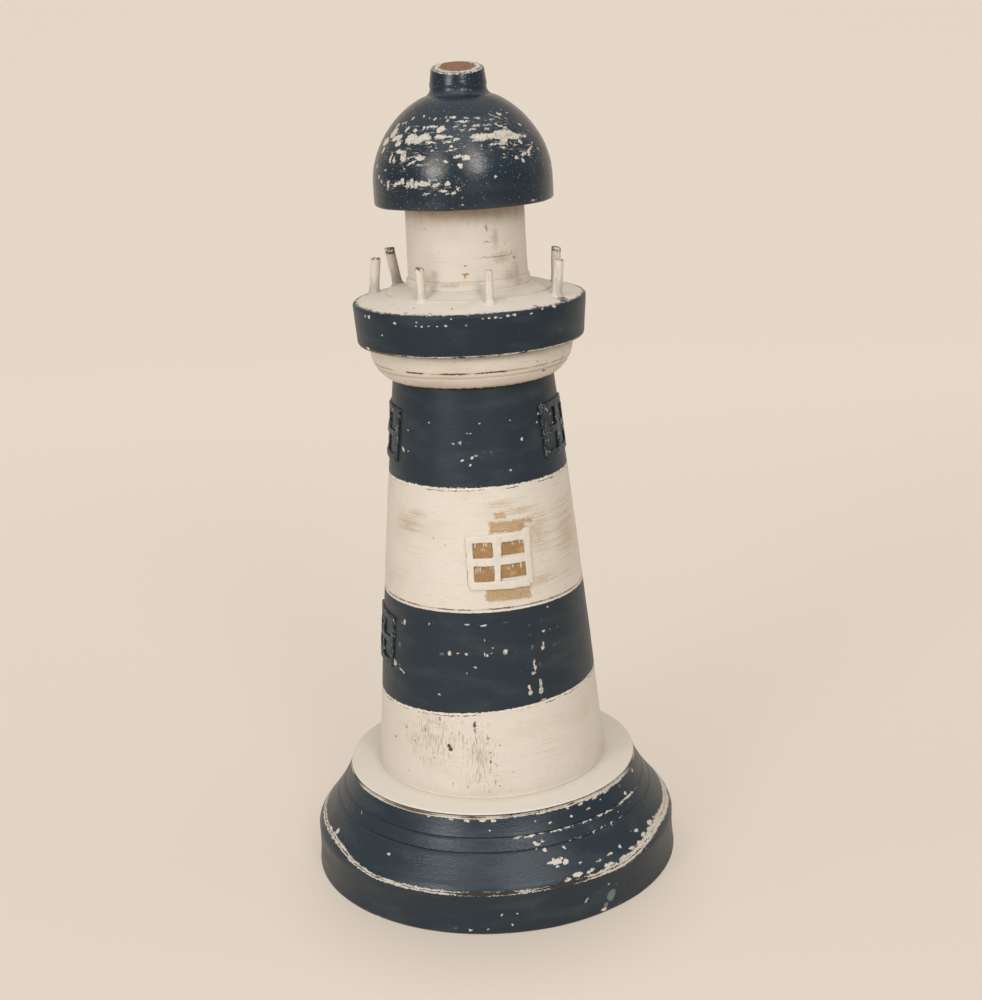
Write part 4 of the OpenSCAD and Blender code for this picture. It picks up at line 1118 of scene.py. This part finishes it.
# Painted shadow: the glow fades close around the ornament's foot.
reach = nodes.new("ShaderNodeVectorMath")
reach.operation = "DISTANCE"
reach.inputs[1].default_value = (0, -0.03, 0)
links.new(nodes.new("ShaderNodeTexCoord").outputs["Object"], reach.inputs[0])
shade = nodes.new("ShaderNodeMapRange")
shade.interpolation_type = "SMOOTHSTEP"
for socket, value in zip(shade.inputs[1:5], (0.035, 0.085, 0.74, 1.0)):
    socket.default_value = value
links.new(reach.outputs["Value"], shade.inputs[0])
glow = nodes.new("ShaderNodeMath")
glow.operation = "MULTIPLY"
links.new(painted_falloff.outputs[0], glow.inputs[0])
links.new(shade.outputs[0], glow.inputs[1])
links.new(glow.outputs[0], lit.inputs["Strength"])
path = nodes.new("ShaderNodeLightPath")
seen = [nodes.new("ShaderNodeMath") for step in range(3)]
for step, operation in zip(seen, ("MULTIPLY", "MAXIMUM", "MULTIPLY")):
    step.operation = operation
links.new(path.outputs["Is Glossy Ray"], seen[0].inputs[0])
links.new(behind.outputs[0], seen[0].inputs[1])
links.new(seen[0].outputs[0], seen[1].inputs[0])
links.new(path.outputs["Is Camera Ray"], seen[1].inputs[1])
links.new(seen[1].outputs[0], seen[2].inputs[0])
backdrop_glow = 0.6
seen[2].inputs[1].default_value = backdrop_glow
share = nodes.new("ShaderNodeMixShader")
links.new(seen[2].outputs[0], share.inputs[0])
links.new(matt.outputs[0], share.inputs[1])
links.new(lit.outputs[0], share.inputs[2])
links.new(share.outputs[0], nodes["Material Output"].inputs["Surface"])
floor.data.materials.append(paper)

world = bpy.data.worlds.new("dim_room")
bpy.context.scene.world = world
world.use_nodes = True
nodes, links = world.node_tree.nodes, world.node_tree.links
sky = nodes.new("ShaderNodeSeparateXYZ")
links.new(nodes.new("ShaderNodeTexCoord").outputs["Generated"], sky.inputs[0])
overhead = nodes.new("ShaderNodeMapRange")
for socket, value in zip(overhead.inputs[1:5], (0.0, 0.9, 0.3, 0.85)):
    socket.default_value = value
links.new(sky.outputs["Z"], overhead.inputs[0])
links.new(overhead.outputs[0], nodes["Background"].inputs["Strength"])
nodes["Background"].inputs["Color"].default_value = (1.0, 0.97, 0.93, 1)


def soft_window(name, direction, elevation, distance, wide, high, power):
    """A soft lamp at a direction from the front towards the right, facing the tower."""
    light = bpy.data.lights.new(name, "AREA")
    light.shape, light.size, light.size_y, light.energy = "RECTANGLE", wide, high, power
    lamp = bpy.data.objects.new(name, light)
    bpy.context.collection.objects.link(lamp)
    a, e = math.radians(direction), math.radians(elevation)
    aim = Vector((0, 0, 0.16))
    away = Vector((math.sin(a) * math.cos(e), -math.cos(a) * math.cos(e), math.sin(e)))
    lamp.location = aim + distance * away
    lamp.rotation_euler = (aim - lamp.location).to_track_quat("-Z", "Y").to_euler()


soft_window("window_left", -38, 20, 1.3, 0.36, 0.36, 5.2)
soft_window("window_right", 20, 29, 1.3, 0.3, 0.4, 4.7)
soft_window("ceiling", -10, 62, 1.6, 1.4, 1.0, 4.8)

camera_place, lens = (0, -0.55038, 0.29401), 58.916
pitch, yaw, roll = 0.285585, 0.00726, -0.049667
sight = Vector((math.sin(yaw) * math.cos(pitch), math.cos(yaw) * math.cos(pitch), -math.sin(pitch)))
level = sight.cross((0, 0, 1)).normalized()
upright_side = level.cross(sight)
right = level * math.cos(roll) + upright_side * math.sin(roll)
up = upright_side * math.cos(roll) - level * math.sin(roll)
camera = bpy.data.objects.new("camera", bpy.data.cameras.new("camera"))
bpy.context.collection.objects.link(camera)
facing = Matrix((right, up, -sight)).transposed().to_4x4()
camera.matrix_world = Matrix.Translation(camera_place) @ facing
camera.data.lens = lens
camera.data.clip_start = 0.01
bpy.context.scene.camera = camera
bpy.context.scene.view_settings.view_transform = "Standard"
